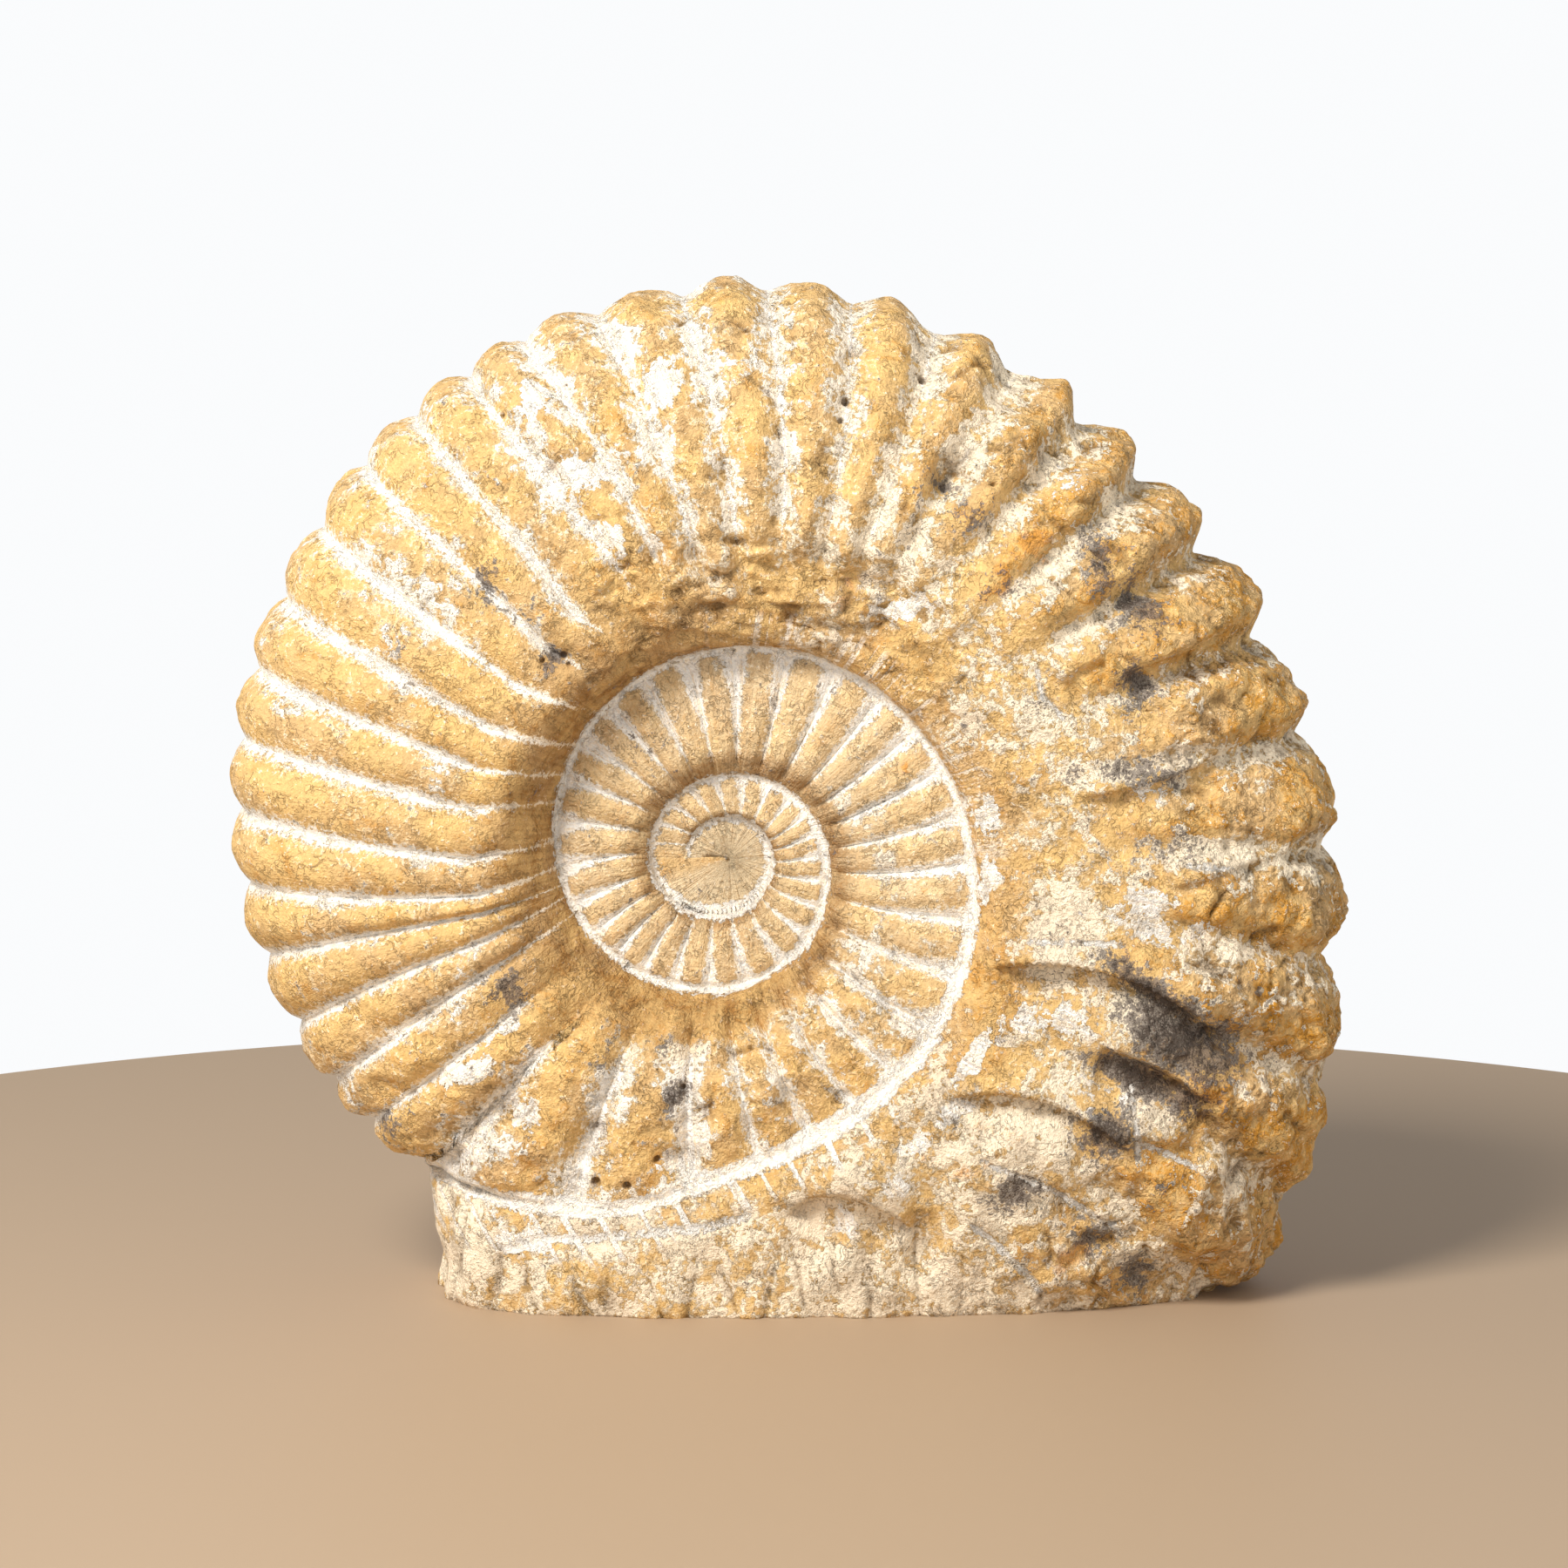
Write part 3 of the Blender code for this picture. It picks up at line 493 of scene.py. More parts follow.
def fine_relief(points, turn, across, front):
    """Small relief that only the fine mesh holds: grain, crust, nodules, streaks, cut lines and pits."""
    rough = curve(ROUGH, turn) * (0.6 + 0.4 * front) * (1 - 0.4 * right_flank(turn, across))
    crusty = 0.6 * noise(points, 5.5, 12) + 0.55 * noise(points, 2.9, 13)
    height = 0.12 * noise(points, 2.6, 11) + rough * crusty
    knobby = span(3.34, 3.42, 3.62, 3.68, turn) * step(0.35, 0.6, across)
    height = height + 1.3 * knobby * (np.abs(noise_where(knobby, points, 4.6, 14)) - 0.25)
    roughest = rough * step(0.35, 0.75, rough)
    creased = roughest * step(-0.05, 0.4, noise_where(roughest, points, 9, 24))
    crease = np.clip(0.14 - np.abs(noise_where(creased, points, 12, 15)), 0, 1)
    height = height - 1.3 * creased * crease / 0.14
    creased = roughest * step(0, 0.4, noise_where(roughest, points, 7, 25))
    crease = np.clip(0.2 - np.abs(noise_where(creased, points, 6.5, 17)), 0, 1)
    height = height - 0.8 * creased * crease / 0.2
    number = rib_number(turn, across)
    streaks = np.stack((number * 3.1, across * 1.6, turn), axis=-1)
    streaked = span(2.86, 2.9, 3.2, 3.3, turn)
    height = height + 0.16 * noise_where(streaked, streaks, 1, 16) * streaked
    shelf = span(3.12, 3.2, 3.36, 3.44, turn) * span(0.02, 0.06, 0.26, 0.4, across)
    broken = 0.22 * step(2.6, 2.68, turn) + 0.25 * step(2.84, 2.88, turn) * step(0.2, 0.5, across)
    craggy = np.maximum(shelf, broken * step(2.97, 2.91, turn)) * front
    drawn = points * np.array((0.7, 1, 1.25))
    crags = 2.2 * np.abs(noise_where(craggy, drawn, 7, 18))
    crags = crags + 1.3 * np.abs(noise_where(craggy, drawn, 3.4, 19)) - 0.9
    height = height + craggy * crags
    foot = step(3.64, 3.7, turn) * step(0.2, 0.4, across) * front
    scars = points * np.array((1, 1, 0.28))
    scar = np.clip(0.16 - np.abs(noise_where(foot, scars, 9, 20)), 0, 1)
    height = height - 1.1 * foot * scar / 0.16
    for right, above, radius, depth in PITS:
        gap = np.hypot(points[..., 0] - right, points[..., 2] - above)
        height = height - depth * step(radius, 0.4 * radius, gap) * front
    height = height - 0.6 * step(0.6, -0.3, cut_gap(points)) * front
    return height


def marks(points, phase, radius, turn, across, front, small):
    """What the stone's material reads at each point."""
    ragged = points + np.stack([2.2 * noise(points, 8, seed) + noise(points, 3.3, seed + 3)
                                for seed in (21, 22, 23)], axis=-1)
    start = curve(CHALK_START, turn)
    narrow = curve(CHALK_NARROW, turn)
    width = curve(CHALK_WIDTH, turn) * (narrow + (1 - narrow) * across ** 2)
    thin = 0.3 * span(2.9, 2.95, 3.1, 3.16, turn)
    width = width * (thin + (1 - thin) * step(start - 0.12, start + 0.04, across)) * (0.7 + 0.3 * front)
    line = np.minimum(seam_line(phase, radius), cut_gap(points) + 99 * (1 - front))
    # the coil's inner walls are kept less bare and are browned: dirt and painted shade in this recess
    wall = step(0.28, 0.08, across) * step(1.02, 1.1, turn) * (1 - 0.75 * step(3.15, 3.4, turn))
    bevel_gap = radius - curve(SEAM_RADIUS, phase + 2)
    bevel = curve(BEVEL, phase + 2) * (phase > 0.61) * (phase < OPEN_TURN - 2)
    tooled = step(0.3, 1, bevel_gap) * step(bevel + 1, bevel - 1, bevel_gap) * front
    number = rib_number(turn, across)
    skewed = number + curve(RIB_SKEW, turn) * (1 - np.cos(2 * np.pi * number)) / (2 * np.pi)
    reach = step(start - 0.25, start + 0.1, across)
    crest = curve(CREST_OCHRE, turn) * (2 * (0.5 + 0.5 * np.cos(2 * np.pi * skewed)) ** 1.6 - 0.8) * reach
    islands = 0.1 * span(3.05, 3.12, 3.2, 3.26, turn) * step(0.35, 0.6, across) * front
    rimmed = 0.12 * span(3.3, 3.42, 3.6, 3.66, turn) * step(0.45, 0.85, across)
    # steep falling faces of the right flank's ribs, less bare and browner: dirt and painted shade on faces
    # turned down, away from the light
    fall = span(0.05, 0.2, 0.35, 0.5, skewed % 1) * span(3.28, 3.4, 3.6, 3.66, turn) * reach
    comb = span(3.22, 3.27, 3.47, 3.52, turn) * step(0.11, 0.08, across)
    golden = 0.16 * span(3.3, 3.36, 3.58, 3.64, turn) * step(0.2, 0.08, across) * front
    return {
        "rib": number,
        "chalk": width,
        "line": np.clip(line, -5, 20),
        "white": spots(ragged, CHALK_SPOTS) * front,
        "bare": curve(BARE, turn) * (1 - 0.6 * wall) - 0.08 * (1 - front) - crest - rimmed
        - 0.08 * fall + islands - golden,
        "grey": spots(ragged, GREY_SPOTS) * front,
        "rust": spots(ragged, RUST_SPOTS) * front,
        # brown of dirt and painted shade on the inner walls and on the ribs' falling faces
        "dirt_and_shade": np.maximum(wall, 0.2 * fall),
        "nodules": curve(NODULES, turn) * (0.4 + 0.6 * step(0.3, 0.6, across)),
        "tooled": tooled,
        "comb": comb * front,
        "rough": curve(ROUGH, turn) * (1 - 0.35 * right_flank(turn, across)),
        "aged": (step(1, 0.9, turn) + 0.55 * step(0.97, 1.03, turn) * step(2.66, 2.5, turn)) * front,
        "fine_height": small,
    }


def fine_points():
    """Grid of points as in the CAD model with the small relief on it, and what the material reads."""
    size = 1
    columns, front_rings = int(FINE_COLUMNS * size), int(FINE_FRONT_RINGS * size)
    back_rings = int(FINE_BACK_RINGS * size)
    phase = np.arange(columns) / columns
    front_radius, front_depth = section_rings(phase, front_rings, 0)
    back_radius, back_depth = section_rings(phase, back_rings, BACK_FILL)
    radius = np.concatenate((front_radius, back_radius[-2::-1]))
    depth = np.concatenate((front_depth, -back_depth[-2::-1]))
    angle = np.pi - 2 * np.pi * phase
    points = np.stack((radius * np.cos(angle), -depth, radius * np.sin(angle)), axis=-1)
    around = np.roll(points, -1, axis=1) - np.roll(points, 1, axis=1)
    along = np.gradient(points, axis=0)
    normal = np.cross(around, along)
    normal = normal / np.maximum(np.linalg.norm(normal, axis=-1, keepdims=True), 1e-9)
    front = (depth > 0) * 1.0
    front[front_rings - 1] = 0.5
    phases = np.broadcast_to(phase, radius.shape)
    turn, across = locate(phases, radius)
    off_seam = step(0, 2.5, seam_gap(phases, radius))
    small = fine_relief(points, turn, across, front) * (0.15 + 0.85 * off_seam)
    facing = step(-12, 12, depth + 8 * noise(points, 9, 26))
    values = marks(points, phases, radius, turn, across, facing, small)
    height = relief(points, phases, radius, front) + small
    points = points + normal * height[..., None]
    wander = noise(points * np.array((1, 0, 1)), 70, 5)
    points[..., 1] = points[..., 1] + WARP * wander
    return points, values


def stone_mesh(points, values):
    """Closed mesh over the grid of points, with a fan of triangles at the centre of each face."""
    rows, columns = points.shape[:2]
    poles = np.array((points[0].mean(axis=0), points[-1].mean(axis=0)))
    vertices = np.concatenate((points.reshape(-1, 3), poles)) * MM
    index = np.arange(rows * columns).reshape(rows, columns)
    ahead = np.roll(index, -1, axis=1)
    first = np.stack((index[:-1], index[1:], ahead[1:]), axis=-1).reshape(-1, 3)
    second = np.stack((index[:-1], ahead[1:], ahead[:-1]), axis=-1).reshape(-1, 3)
    front_pole = np.full(columns, rows * columns)
    front_fan = np.stack((front_pole, index[0], ahead[0]), axis=-1)
    back_fan = np.stack((front_pole + 1, ahead[-1], index[-1]), axis=-1)
    triangles = np.concatenate((first, second, front_fan, back_fan)).astype(np.int32)
    mesh = bpy.data.meshes.new("fine stone")
    mesh.vertices.add(len(vertices))
    mesh.vertices.foreach_set("co", vertices.astype(np.float32).ravel())
    mesh.loops.add(triangles.size)
    mesh.loops.foreach_set("vertex_index", triangles.ravel())
    mesh.polygons.add(len(triangles))
    mesh.polygons.foreach_set("loop_start", np.arange(0, triangles.size, 3, dtype=np.int32))
    for name, value in values.items():
        whole = np.concatenate((value.ravel(), (value[0].mean(), value[-1].mean())))
        mesh.attributes.new(name, "FLOAT", "POINT").data.foreach_set("value", whole.astype(np.float32))
    mesh.update(calc_edges=True)
    return mesh


def simplified(mesh, faces):
    """The mesh with fewer faces, kept small where the surface bends most."""
    whole = bpy.data.objects.new("whole", mesh)
    bpy.context.collection.objects.link(whole)
    fewer = whole.modifiers.new("Fewer faces", "DECIMATE")
    fewer.ratio = min(1, faces / len(mesh.polygons))
    graph = bpy.context.evaluated_depsgraph_get()
    result = bpy.data.meshes.new_from_object(whole.evaluated_get(graph))
    bpy.data.objects.remove(whole)
    bpy.data.meshes.remove(mesh)
    return result


def cut_flat(mesh):
    """Cut the stone off level, set its box on the CAD solid's, and return the coil's centre."""
    shape = bmesh.new()
    shape.from_mesh(mesh)
    parts = shape.verts[:] + shape.edges[:] + shape.faces[:]
    level = (0, 0, -CENTRE_HEIGHT * MM)
    cut = bmesh.ops.bisect_plane(shape, geom=parts, dist=1e-6, plane_co=level, plane_no=(0, 0, 1),
                                 clear_inner=True)
    border = [item for item in cut["geom_cut"] if isinstance(item, bmesh.types.BMEdge)]
    filled = bmesh.ops.edgenet_fill(shape, edges=border)
    bmesh.ops.triangulate(shape, faces=filled["faces"])
    shape.to_mesh(mesh)
    shape.free()
    flat_list = np.empty(len(mesh.vertices) * 3, np.float32)
    mesh.vertices.foreach_get("co", flat_list)
    corners = flat_list.reshape(-1, 3)
    low, high = corners.min(axis=0), corners.max(axis=0)
    cad_low, cad_high = (np.array(corner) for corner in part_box("ammonite"))
    shift = (cad_low + cad_high) / 2 - (low + high) / 2
    shift[2] = cad_low[2] - low[2]
    mesh.vertices.foreach_set("co", (corners + shift).astype(np.float32).ravel())
    mesh.update()
    return shift / MM


# ---- the stone's material ----
class Shading:
    """Nodes of one material, made and joined by short calls."""

    def __init__(self, name):
        """A material with its one shader, and places on the stone in millimetres."""
        self.material = bpy.data.materials.new(name)
        self.material.use_nodes = True
        self.tree = self.material.node_tree
        self.surface = self.tree.nodes["Principled BSDF"]
        place = self.tree.nodes.new("ShaderNodeTexCoord")
        self.place = self.vector("SCALE", place.outputs["Object"], scale=1 / MM)

    def put(self, node, slot, value):
        """Join a socket to an input, or set the input to a value."""
        if isinstance(value, bpy.types.NodeSocket):
            self.tree.links.new(value, node.inputs[slot])
        else:
            node.inputs[slot].default_value = value

    def vector(self, operation, first, second=None, scale=None):
        """Vector arithmetic on sockets and plain vectors."""
        node = self.tree.nodes.new("ShaderNodeVectorMath")
        node.operation = operation
        self.put(node, 0, first)
        if second is not None:
            self.put(node, 1, second)
        if scale is not None:
            self.put(node, "Scale", scale)
        return node.outputs["Value" if operation == "DOT_PRODUCT" else "Vector"]

    def math(self, operation, first, second=0.0):
        """Arithmetic on sockets and plain numbers."""
        node = self.tree.nodes.new("ShaderNodeMath")
        node.operation = operation
        self.put(node, 0, first)
        self.put(node, 1, second)
        return node.outputs[0]

    def total(self, *terms):
        """Sum of (value, factor) pairs and plain numbers."""
        result = None
        for term in terms:
            value = self.math("MULTIPLY", *term) if isinstance(term, tuple) else term
            result = value if result is None else self.math("ADD", result, value)
        return result

    def most(self, first, *others):
        """Largest of the values."""
        for other in others:
            first = self.math("MAXIMUM", first, other)
        return first

    def read(self, name):
        """Number that the mesh keeps at each point under a name."""
        node = self.tree.nodes.new("ShaderNodeAttribute")
        node.attribute_name = name
        return node.outputs["Fac"]

    def noise(self, size, detail=2.0, rough=0.5, place=None, distortion=0.0, offset=0.0):
        """Noise around 0, about -0.5 to 0.5, whose lumps have the given size in millimetres."""
        if place is None:
            place = self.place
        if offset:
            place = self.vector("ADD", place, (offset, 2 * offset, 3 * offset))
        node = self.tree.nodes.new("ShaderNodeTexNoise")
        self.put(node, "Vector", place)
        self.put(node, "Scale", 1 / size)
        self.put(node, "Detail", detail)
        self.put(node, "Roughness", rough)
        self.put(node, "Distortion", distortion)
        return self.math("SUBTRACT", node.outputs["Fac"], 0.5)

    def cells(self, size):
        """Distance from the middles of round cells of the given size in millimetres, 0 to about 1."""
        node = self.tree.nodes.new("ShaderNodeTexVoronoi")
        self.put(node, "Vector", self.place)
        self.put(node, "Scale", 1 / size)
        return node.outputs["Distance"]

    def step(self, low, high, value):
        """Smooth step from 0 at low to 1 at high."""
        node = self.tree.nodes.new("ShaderNodeMapRange")
        node.interpolation_type = "SMOOTHSTEP"
        if low > high:
            self.put(node, "To Min", 1.0)
            self.put(node, "To Max", 0.0)
            low, high = high, low
        self.put(node, "From Min", low)
        self.put(node, "From Max", high)
        self.put(node, "Value", value)
        return node.outputs[0]

    def mix(self, share, first, second, blend="MIX"):
        """Colour between two: a share of 0 gives the first."""
        node = self.tree.nodes.new("ShaderNodeMix")
        node.data_type = "RGBA"
        node.blend_type = blend
        self.put(node, 0, share)
        for slot, value in ((6, first), (7, second)):
            self.put(node, slot, value if isinstance(value, bpy.types.NodeSocket) else (*value, 1))
        return node.outputs[2]


def srgb(red, green, blue):
    """Linear colour from the usual 0 to 255 values."""
    return tuple(c / 12.92 if c <= 0.04045 else ((c + 0.055) / 1.055) ** 2.4
                 for c in (red / 255, green / 255, blue / 255))


GOLD = srgb(228, 188, 123)
TAN = srgb(213, 175, 122)
DEEP = srgb(205, 152, 80)
OCHRE = srgb(208, 147, 54)
PALE = srgb(240, 214, 170)
CREAM = srgb(248, 231, 202)
PINKISH = srgb(243, 224, 195)
CHALK = srgb(251, 245, 235)
ASH = srgb(200, 190, 184)
GREY = srgb(110, 101, 97)
DARK = srgb(74, 62, 54)
RUST = srgb(220, 152, 66)
BROWN = srgb(146, 103, 54)
DISC = srgb(240, 220, 184)
GRIME = srgb(208, 182, 144)
# brown of dirt and painted shade in crevices
CREVICE_DIRT_AND_SHADE = srgb(134, 98, 56)
TABLE = srgb(178, 154, 127)


def limestone(centre):
    """Ochre limestone, dull and grainy, with cream and grey patches, rust, and chalk in its grooves."""
    s = Shading("ochre limestone")
    rib, chalk, line = s.read("rib"), s.read("chalk"), s.read("line")
    rough, dirt_and_shade = s.read("rough"), s.read("dirt_and_shade")
    broad, patch = s.noise(BROAD_SIZE, 2), s.noise(PATCH_SIZE, 4, 0.65, distortion=0.6)
    blotch = s.noise(BLOTCH_SIZE, 4, 0.68, offset=17)
    fine = s.noise(FINE_SIZE, 3, 0.65, offset=5)
    grain = s.noise(GRAIN_SIZE, 2, 0.65, offset=9)

    fine_height = s.read("fine_height")
    grouped = s.step(-0.06, 0.06, s.total((broad, 0.7), (patch, 0.5)))
    knobs = s.step(0.55, 0.1, s.cells(NODULE_SIZE))
    nodule = s.math("MULTIPLY", knobs, s.math("MULTIPLY", s.read("nodules"), grouped))
    crease = s.math("ABSOLUTE", s.noise(CREASE_SIZE, 3, 0.6, distortion=0.9, offset=61))
    cracked = s.step(-0.12, 0.12, s.noise(CRACK_SIZE, 2, offset=67))
    crack = s.math("MULTIPLY", s.step(0.03, 0.004, crease), cracked)
    colour = s.mix(s.step(-0.12, 0.14, broad), GOLD, TAN)
    deeper = s.math("MULTIPLY", s.step(0.0, 0.16, s.total((patch, 1.0), (fine, 0.5))), 0.75)
    colour = s.mix(deeper, colour, DEEP)
    cover = s.total((patch, 0.95), (blotch, 0.5), (fine, 0.12), (broad, 0.8), (s.read("bare"), 1.0),
                    (s.math("MULTIPLY", blotch, rough), 0.8), (s.math("MULTIPLY", fine, rough), 0.4),
                    (nodule, -0.12), -0.46)
    pale = s.step(-0.13, -0.04, s.total((cover, 1.0), (fine, 0.4), (blotch, 0.4)))
    colour = s.mix(s.math("MULTIPLY", pale, 0.6), colour, PALE)
    ochre = s.step(-0.08, 0.1, s.total((patch, 1.0), (blotch, 0.8), (fine, 0.5)))
    ochre = s.math("MULTIPLY", ochre, s.total((s.read("nodules"), 0.9), (nodule, 0.2)))
    colour = s.mix(ochre, colour, OCHRE)
    cream = s.mix(s.step(-0.1, 0.12, s.noise(CRUST_SIZE, 2, offset=31)), CREAM, PINKISH)
    cream = s.mix(s.math("MULTIPLY", s.step(0.02, 0.1, chalk), 0.6), cream, CHALK)
    bared = s.step(0.0, 0.035, cover)
    colour = s.mix(bared, colour, cream)

    from_centre = s.vector("SUBTRACT", s.place, tuple(float(v) for v in centre))
    flat = s.vector("MULTIPLY", from_centre, (1.0, 0.0, 1.0))
    spoke_place = s.vector("SCALE", s.vector("NORMALIZE", flat), scale=SPOKE_RING)
    spoke = s.noise(SPOKE_SIZE, 2, 0.65, place=spoke_place)
    ray = s.step(0.06, 0.16, s.total((spoke, 1.0), (fine, 0.25)))
    streak_place = s.tree.nodes.new("ShaderNodeCombineXYZ")
    s.put(streak_place, 0, s.math("MULTIPLY", rib, STREAKS))
    s.put(streak_place, 1, s.vector("DOT_PRODUCT", s.place, (0.03, 0.03, 0.03)))
    streak = s.noise(STREAK_SIZE, 2, 0.65, place=streak_place.outputs[0])
    streak = s.math("MULTIPLY", streak, s.step(0.3, 2, line))

    rib_place = s.math("FRACT", rib)
    off_groove = s.math("ABSOLUTE", s.math("SUBTRACT", rib_place, 0.5))
    edge = s.total((chalk, 1.0), (off_groove, -1.0), (broad, 0.22), (patch, 0.12), -0.015)
    there = s.step(0.005, 0.02, chalk)
    haze = s.step(-0.01, 0.05, s.total((edge, 1.0), (fine, 0.65), (grain, 0.3), 0.035))
    haze = s.math("MULTIPLY", haze, there)
    groove = s.total((edge, 1.0), (fine, 0.35), (blotch, 0.32), (streak, 0.12))
    groove = s.math("MULTIPLY", s.step(-0.015, 0.03, groove), there)
    seam = s.step(0.3, -0.25, s.total((line, 1.0), (fine, 3.0), (blotch, 2.6)))
    spot = s.step(0.42, 0.47, s.total((s.read("white"), 1.0), (patch, 1.1), (blotch, 0.9), (fine, 0.4)))
    fleck = s.step(0.11, 0.16, s.total((fine, 0.9), (blotch, 0.4)))

    tool_place = s.tree.nodes.new("ShaderNodeCombineXYZ")
    s.put(tool_place, 0, s.total((s.vector("DOT_PRODUCT", s.place, (0.85, 0.0, 0.53)), 1.0), (fine, 0.5)))
    tool = s.noise(TOOL_MARK_SIZE, 1, place=tool_place.outputs[0])
    tool = s.math("MULTIPLY", s.step(0.05, 0.09, s.total((tool, 1.0), (fine, 0.25))), s.read("tooled"))
    comb = s.math("MULTIPLY", s.step(0.0, 0.14, s.total((spoke, 1.0), (fine, 0.6))), s.read("comb"))
    comb = s.math("MULTIPLY", comb, 0.65)
    white = s.most(s.math("MULTIPLY", groove, s.total((dirt_and_shade, -0.5), 1.0)), seam, spot, tool, comb)

    aged = s.read("aged")
    bar = s.mix(s.step(-0.15, 0.2, s.total((spoke, 0.8), (fine, 0.8))), DISC, GRIME)
    colour = s.mix(s.math("MULTIPLY", aged, 0.8), colour, bar)
    rays = s.math("MULTIPLY", ray, s.step(0.8, 1.0, aged))
    colour = s.mix(s.math("MULTIPLY", rays, 0.6), colour, BROWN)
    ridge = s.step(-0.15, 0.25, s.total((spoke, 0.8), (fine, 0.7), (blotch, 0.5)))
    # brown over the inner walls and the ribs' falling faces: dirt and painted shade
    dirt_and_shade_share = s.math("MULTIPLY", dirt_and_shade, s.total((s.step(-0.3, 0.25, patch), 0.65), (ridge, 0.35)))
    colour = s.mix(dirt_and_shade_share, colour, BROWN)
    colour = s.mix(s.math("MULTIPLY", fleck, s.total((dirt_and_shade, -0.45), 0.7)), colour, CREAM)
    colour = s.mix(s.math("MULTIPLY", haze, 0.7), colour, CREAM)
    rusty = s.total((s.read("rust"), 1.0), (patch, 0.8), (blotch, 0.9), (fine, 0.6))
    colour = s.mix(s.math("MULTIPLY", s.step(0.45, 0.75, rusty), 0.75), colour, RUST)
    chalky = s.mix(s.step(-0.1, 0.25, s.total((streak, 1.0), (fine, 0.8), (blotch, 0.5))), CHALK, PINKISH)
    ashen = s.math("MULTIPLY", s.step(0.14, 0.3, s.total((streak, 1.3), (patch, 0.6))), 0.7)
    chalky = s.mix(ashen, chalky, ASH)
    colour = s.mix(white, colour, chalky)
    stain = s.total((s.read("grey"), 1.0), (patch, 1.3), (blotch, 2.0), (fine, 1.9), (grain, 0.7),
                    (seam, -0.6))
    colour = s.mix(s.math("MULTIPLY", s.step(0.46, 0.66, stain), 0.8), colour, GREY)
    darkest = s.math("MULTIPLY", s.step(0.85, 1.2, s.total((stain, 1.0), (grain, 0.9))), 0.8)
    colour = s.mix(darkest, colour, DARK)
    speck = s.step(0.2, 0.25, s.total((grain, 0.6), (s.noise(SPECK_SIZE, 2, offset=43), 0.7)))
    colour = s.mix(s.math("MULTIPLY", speck, s.total((rough, 0.35), 0.15)), colour, BROWN)
    # brown in the low places of the fine relief: dirt and painted shade in its crevices
    crevice_dirt_and_shade = s.step(-0.4, -1.4, s.total((fine_height, 1.0), (fine, 1.2)))
    crevice_dirt_and_shade = s.math("MULTIPLY", crevice_dirt_and_shade, s.total((seam, -0.55), 0.55))
    colour = s.mix(crevice_dirt_and_shade, colour, CREVICE_DIRT_AND_SHADE)
    lined = s.math("MULTIPLY", crack, s.total((white, -0.7), 1.0))
    # tone of the stone: random grain and blotches, darker cracks, and painted shade in the low fine relief
    # with painted light on its highs
    shade = s.total((grain, 0.4), (fine, 0.4), (blotch, 0.3), (s.step(-1.2, 0.8, fine_height), 0.28),
                    (lined, -0.3), (s.math("MULTIPLY", s.total((fine, 0.7), (blotch, 0.6)), rough), 1.0),
                    0.87)
    gloom = s.tree.nodes.new("ShaderNodeCombineColor")
    for slot in range(3):
        s.put(gloom, slot, shade)
    s.put(s.surface, "Base Color", s.mix(1.0, colour, gloom.outputs[0], "MULTIPLY"))

    billow = s.math("ABSOLUTE", blotch)
    height = s.total((grain, 0.25), (fine, 0.7), (s.math("MULTIPLY", blotch, rough), 1.6), (billow, 1.2),
                     (s.math("MULTIPLY", patch, rough), 1.5), (streak, 0.3),
                     (s.math("MULTIPLY", spoke, aged), 0.6), (s.math("MULTIPLY", ridge, dirt_and_shade), 0.25),
                     (nodule, 0.7), (crack, -0.3), (white, -0.35), (bared, -0.5))
    bump = s.tree.nodes.new("ShaderNodeBump")
    bump.inputs["Strength"].default_value = 1.0
    bump.inputs["Distance"].default_value = MM
    s.put(bump, "Height", height)
    s.put(s.surface, "Normal", bump.outputs[0])
    s.surface.inputs["Roughness"].default_value = DULLNESS
    s.surface.inputs["Specular IOR Level"].default_value = SPECULAR
    return s.material


def plain(name, colour, roughness):
    """Material of one colour."""
    material = bpy.data.materials.new(name)
    material.use_nodes = True
    shader = material.node_tree.nodes["Principled BSDF"]
    shader.inputs["Base Color"].default_value = (*colour, 1)
    shader.inputs["Roughness"].default_value = roughness
    return material


def stone():
    """The fossil, in place of its CAD solid."""
    points, values = fine_points()
    mesh = simplified(stone_mesh(points, values), FINE_FACES)
    centre = cut_flat(mesh)
    mesh.name = "ammonite_stone"
    mesh.polygons.foreach_set("use_smooth", np.ones(len(mesh.polygons), bool))
    mesh.materials.clear()
    mesh.materials.append(limestone(centre))
    piece = bpy.data.objects.new("ammonite_stone", mesh)
    bpy.context.collection.objects.link(piece)
    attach(piece, "root")
    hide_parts("ammonite")


def floor():
    """Round pale table top."""
    mesh = bpy.data.meshes.new("floor")
    shape = bmesh.new()
    bmesh.ops.create_circle(shape, cap_ends=True, segments=256, radius=FLOOR_RADIUS * MM)
    shape.to_mesh(mesh)
    shape.free()
    mesh.materials.append(plain("pale table", TABLE, TABLE_DULLNESS))
    top = bpy.data.objects.new("floor", mesh)
    bpy.context.collection.objects.link(top)


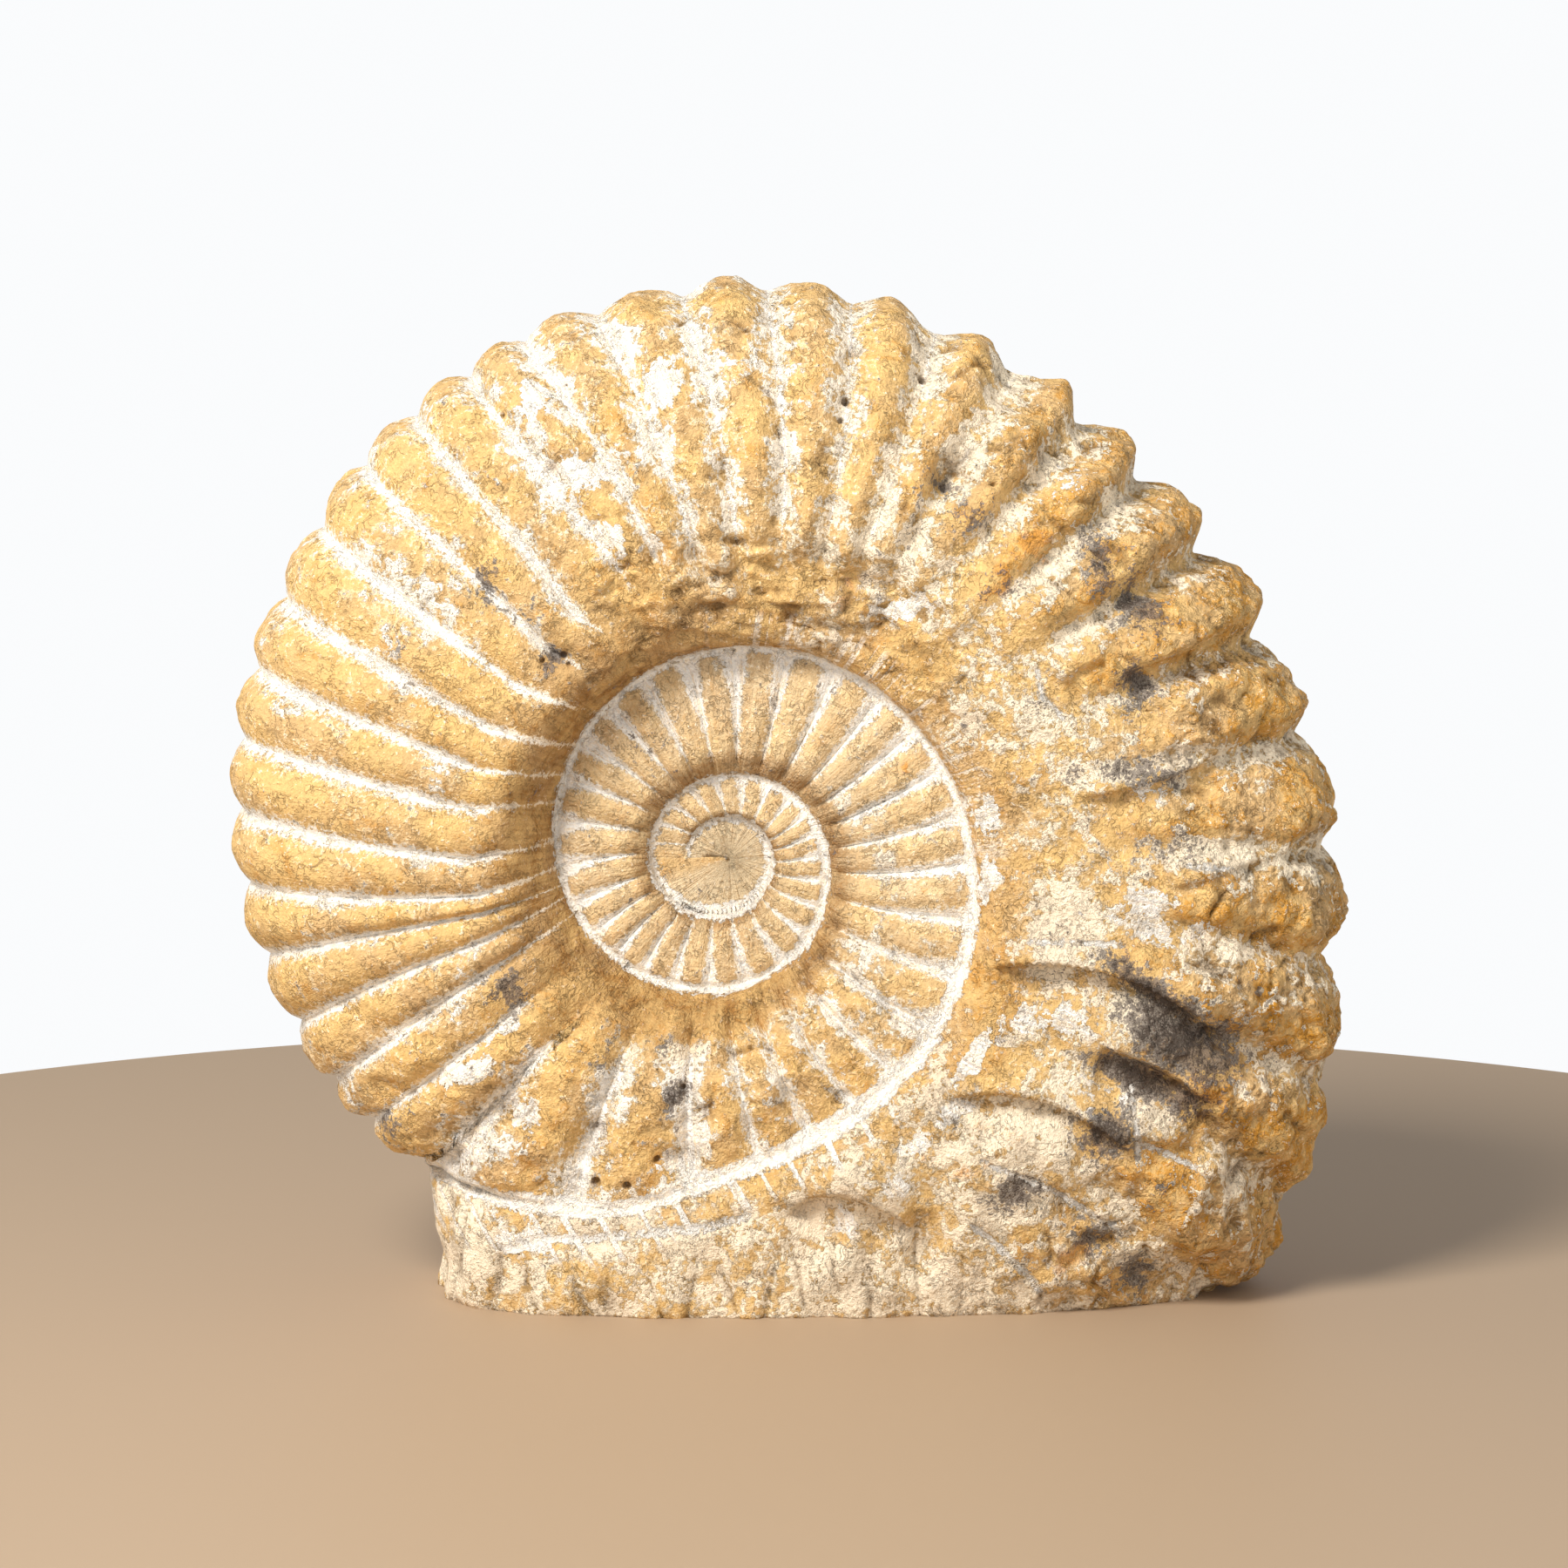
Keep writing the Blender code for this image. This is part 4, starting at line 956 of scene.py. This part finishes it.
def soft_light(name, place, side, power, colour):
    """Square area light, in metres and watts, that faces the stone."""
    light = bpy.data.lights.new(name, "AREA")
    light.size = side
    light.energy = power
    light.color = colour
    holder = bpy.data.objects.new(name, light)
    holder.location = place
    towards = np.array(KEY_AIM) - place
    holder.rotation_euler = (math.atan2(math.hypot(towards[0], towards[1]), -towards[2]), 0,
                             math.atan2(-towards[0], towards[1]))
    bpy.context.collection.objects.link(holder)


def studio():
    """Even white surroundings with a soft key light high on the left."""
    world = bpy.data.worlds.new("studio")
    world.use_nodes = True
    tree = world.node_tree
    place = tree.nodes.new("ShaderNodeTexCoord")
    part = tree.nodes.new("ShaderNodeSeparateXYZ")
    tree.links.new(place.outputs["Generated"], part.inputs[0])
    fall = tree.nodes.new("ShaderNodeMapRange")
    fall.interpolation_type = "SMOOTHSTEP"
    for slot, value in (("From Min", WALL_TOP), ("From Max", CEILING_EDGE), ("To Min", WALL_LIGHT),
                        ("To Max", CEILING_LIGHT)):
        fall.inputs[slot].default_value = value
    tree.links.new(part.outputs["Z"], fall.inputs["Value"])
    tree.links.new(fall.outputs[0], tree.nodes["Background"].inputs["Strength"])
    tree.nodes["Background"].inputs["Color"].default_value = (*ROOM_COLOUR, 1)
    bpy.context.scene.world = world
    soft_light("key", KEY_PLACE, KEY_SIDE, KEY_POWER, KEY_COLOUR)


def camera():
    """Camera at the photograph's height, distance and angle."""
    lens = bpy.data.cameras.new("camera")
    lens.sensor_width = SENSOR
    lens.lens = SENSOR * PHOTO_SCALE * CAMERA_DISTANCE / PHOTO_SIDE
    lens.clip_start = 0.05
    holder = bpy.data.objects.new("camera", lens)
    tilt = math.radians(CAMERA_HEIGHT_ANGLE)
    right, ahead, up = CAMERA_TARGET
    holder.location = (right * MM, (ahead - CAMERA_DISTANCE * math.cos(tilt)) * MM,
                       (up + CAMERA_DISTANCE * math.sin(tilt)) * MM)
    holder.rotation_euler = (math.pi / 2 - tilt, 0, 0)
    bpy.context.collection.objects.link(holder)
    bpy.context.scene.camera = holder


stone()
floor()
studio()
camera()
bpy.context.scene.view_settings.view_transform = "Standard"
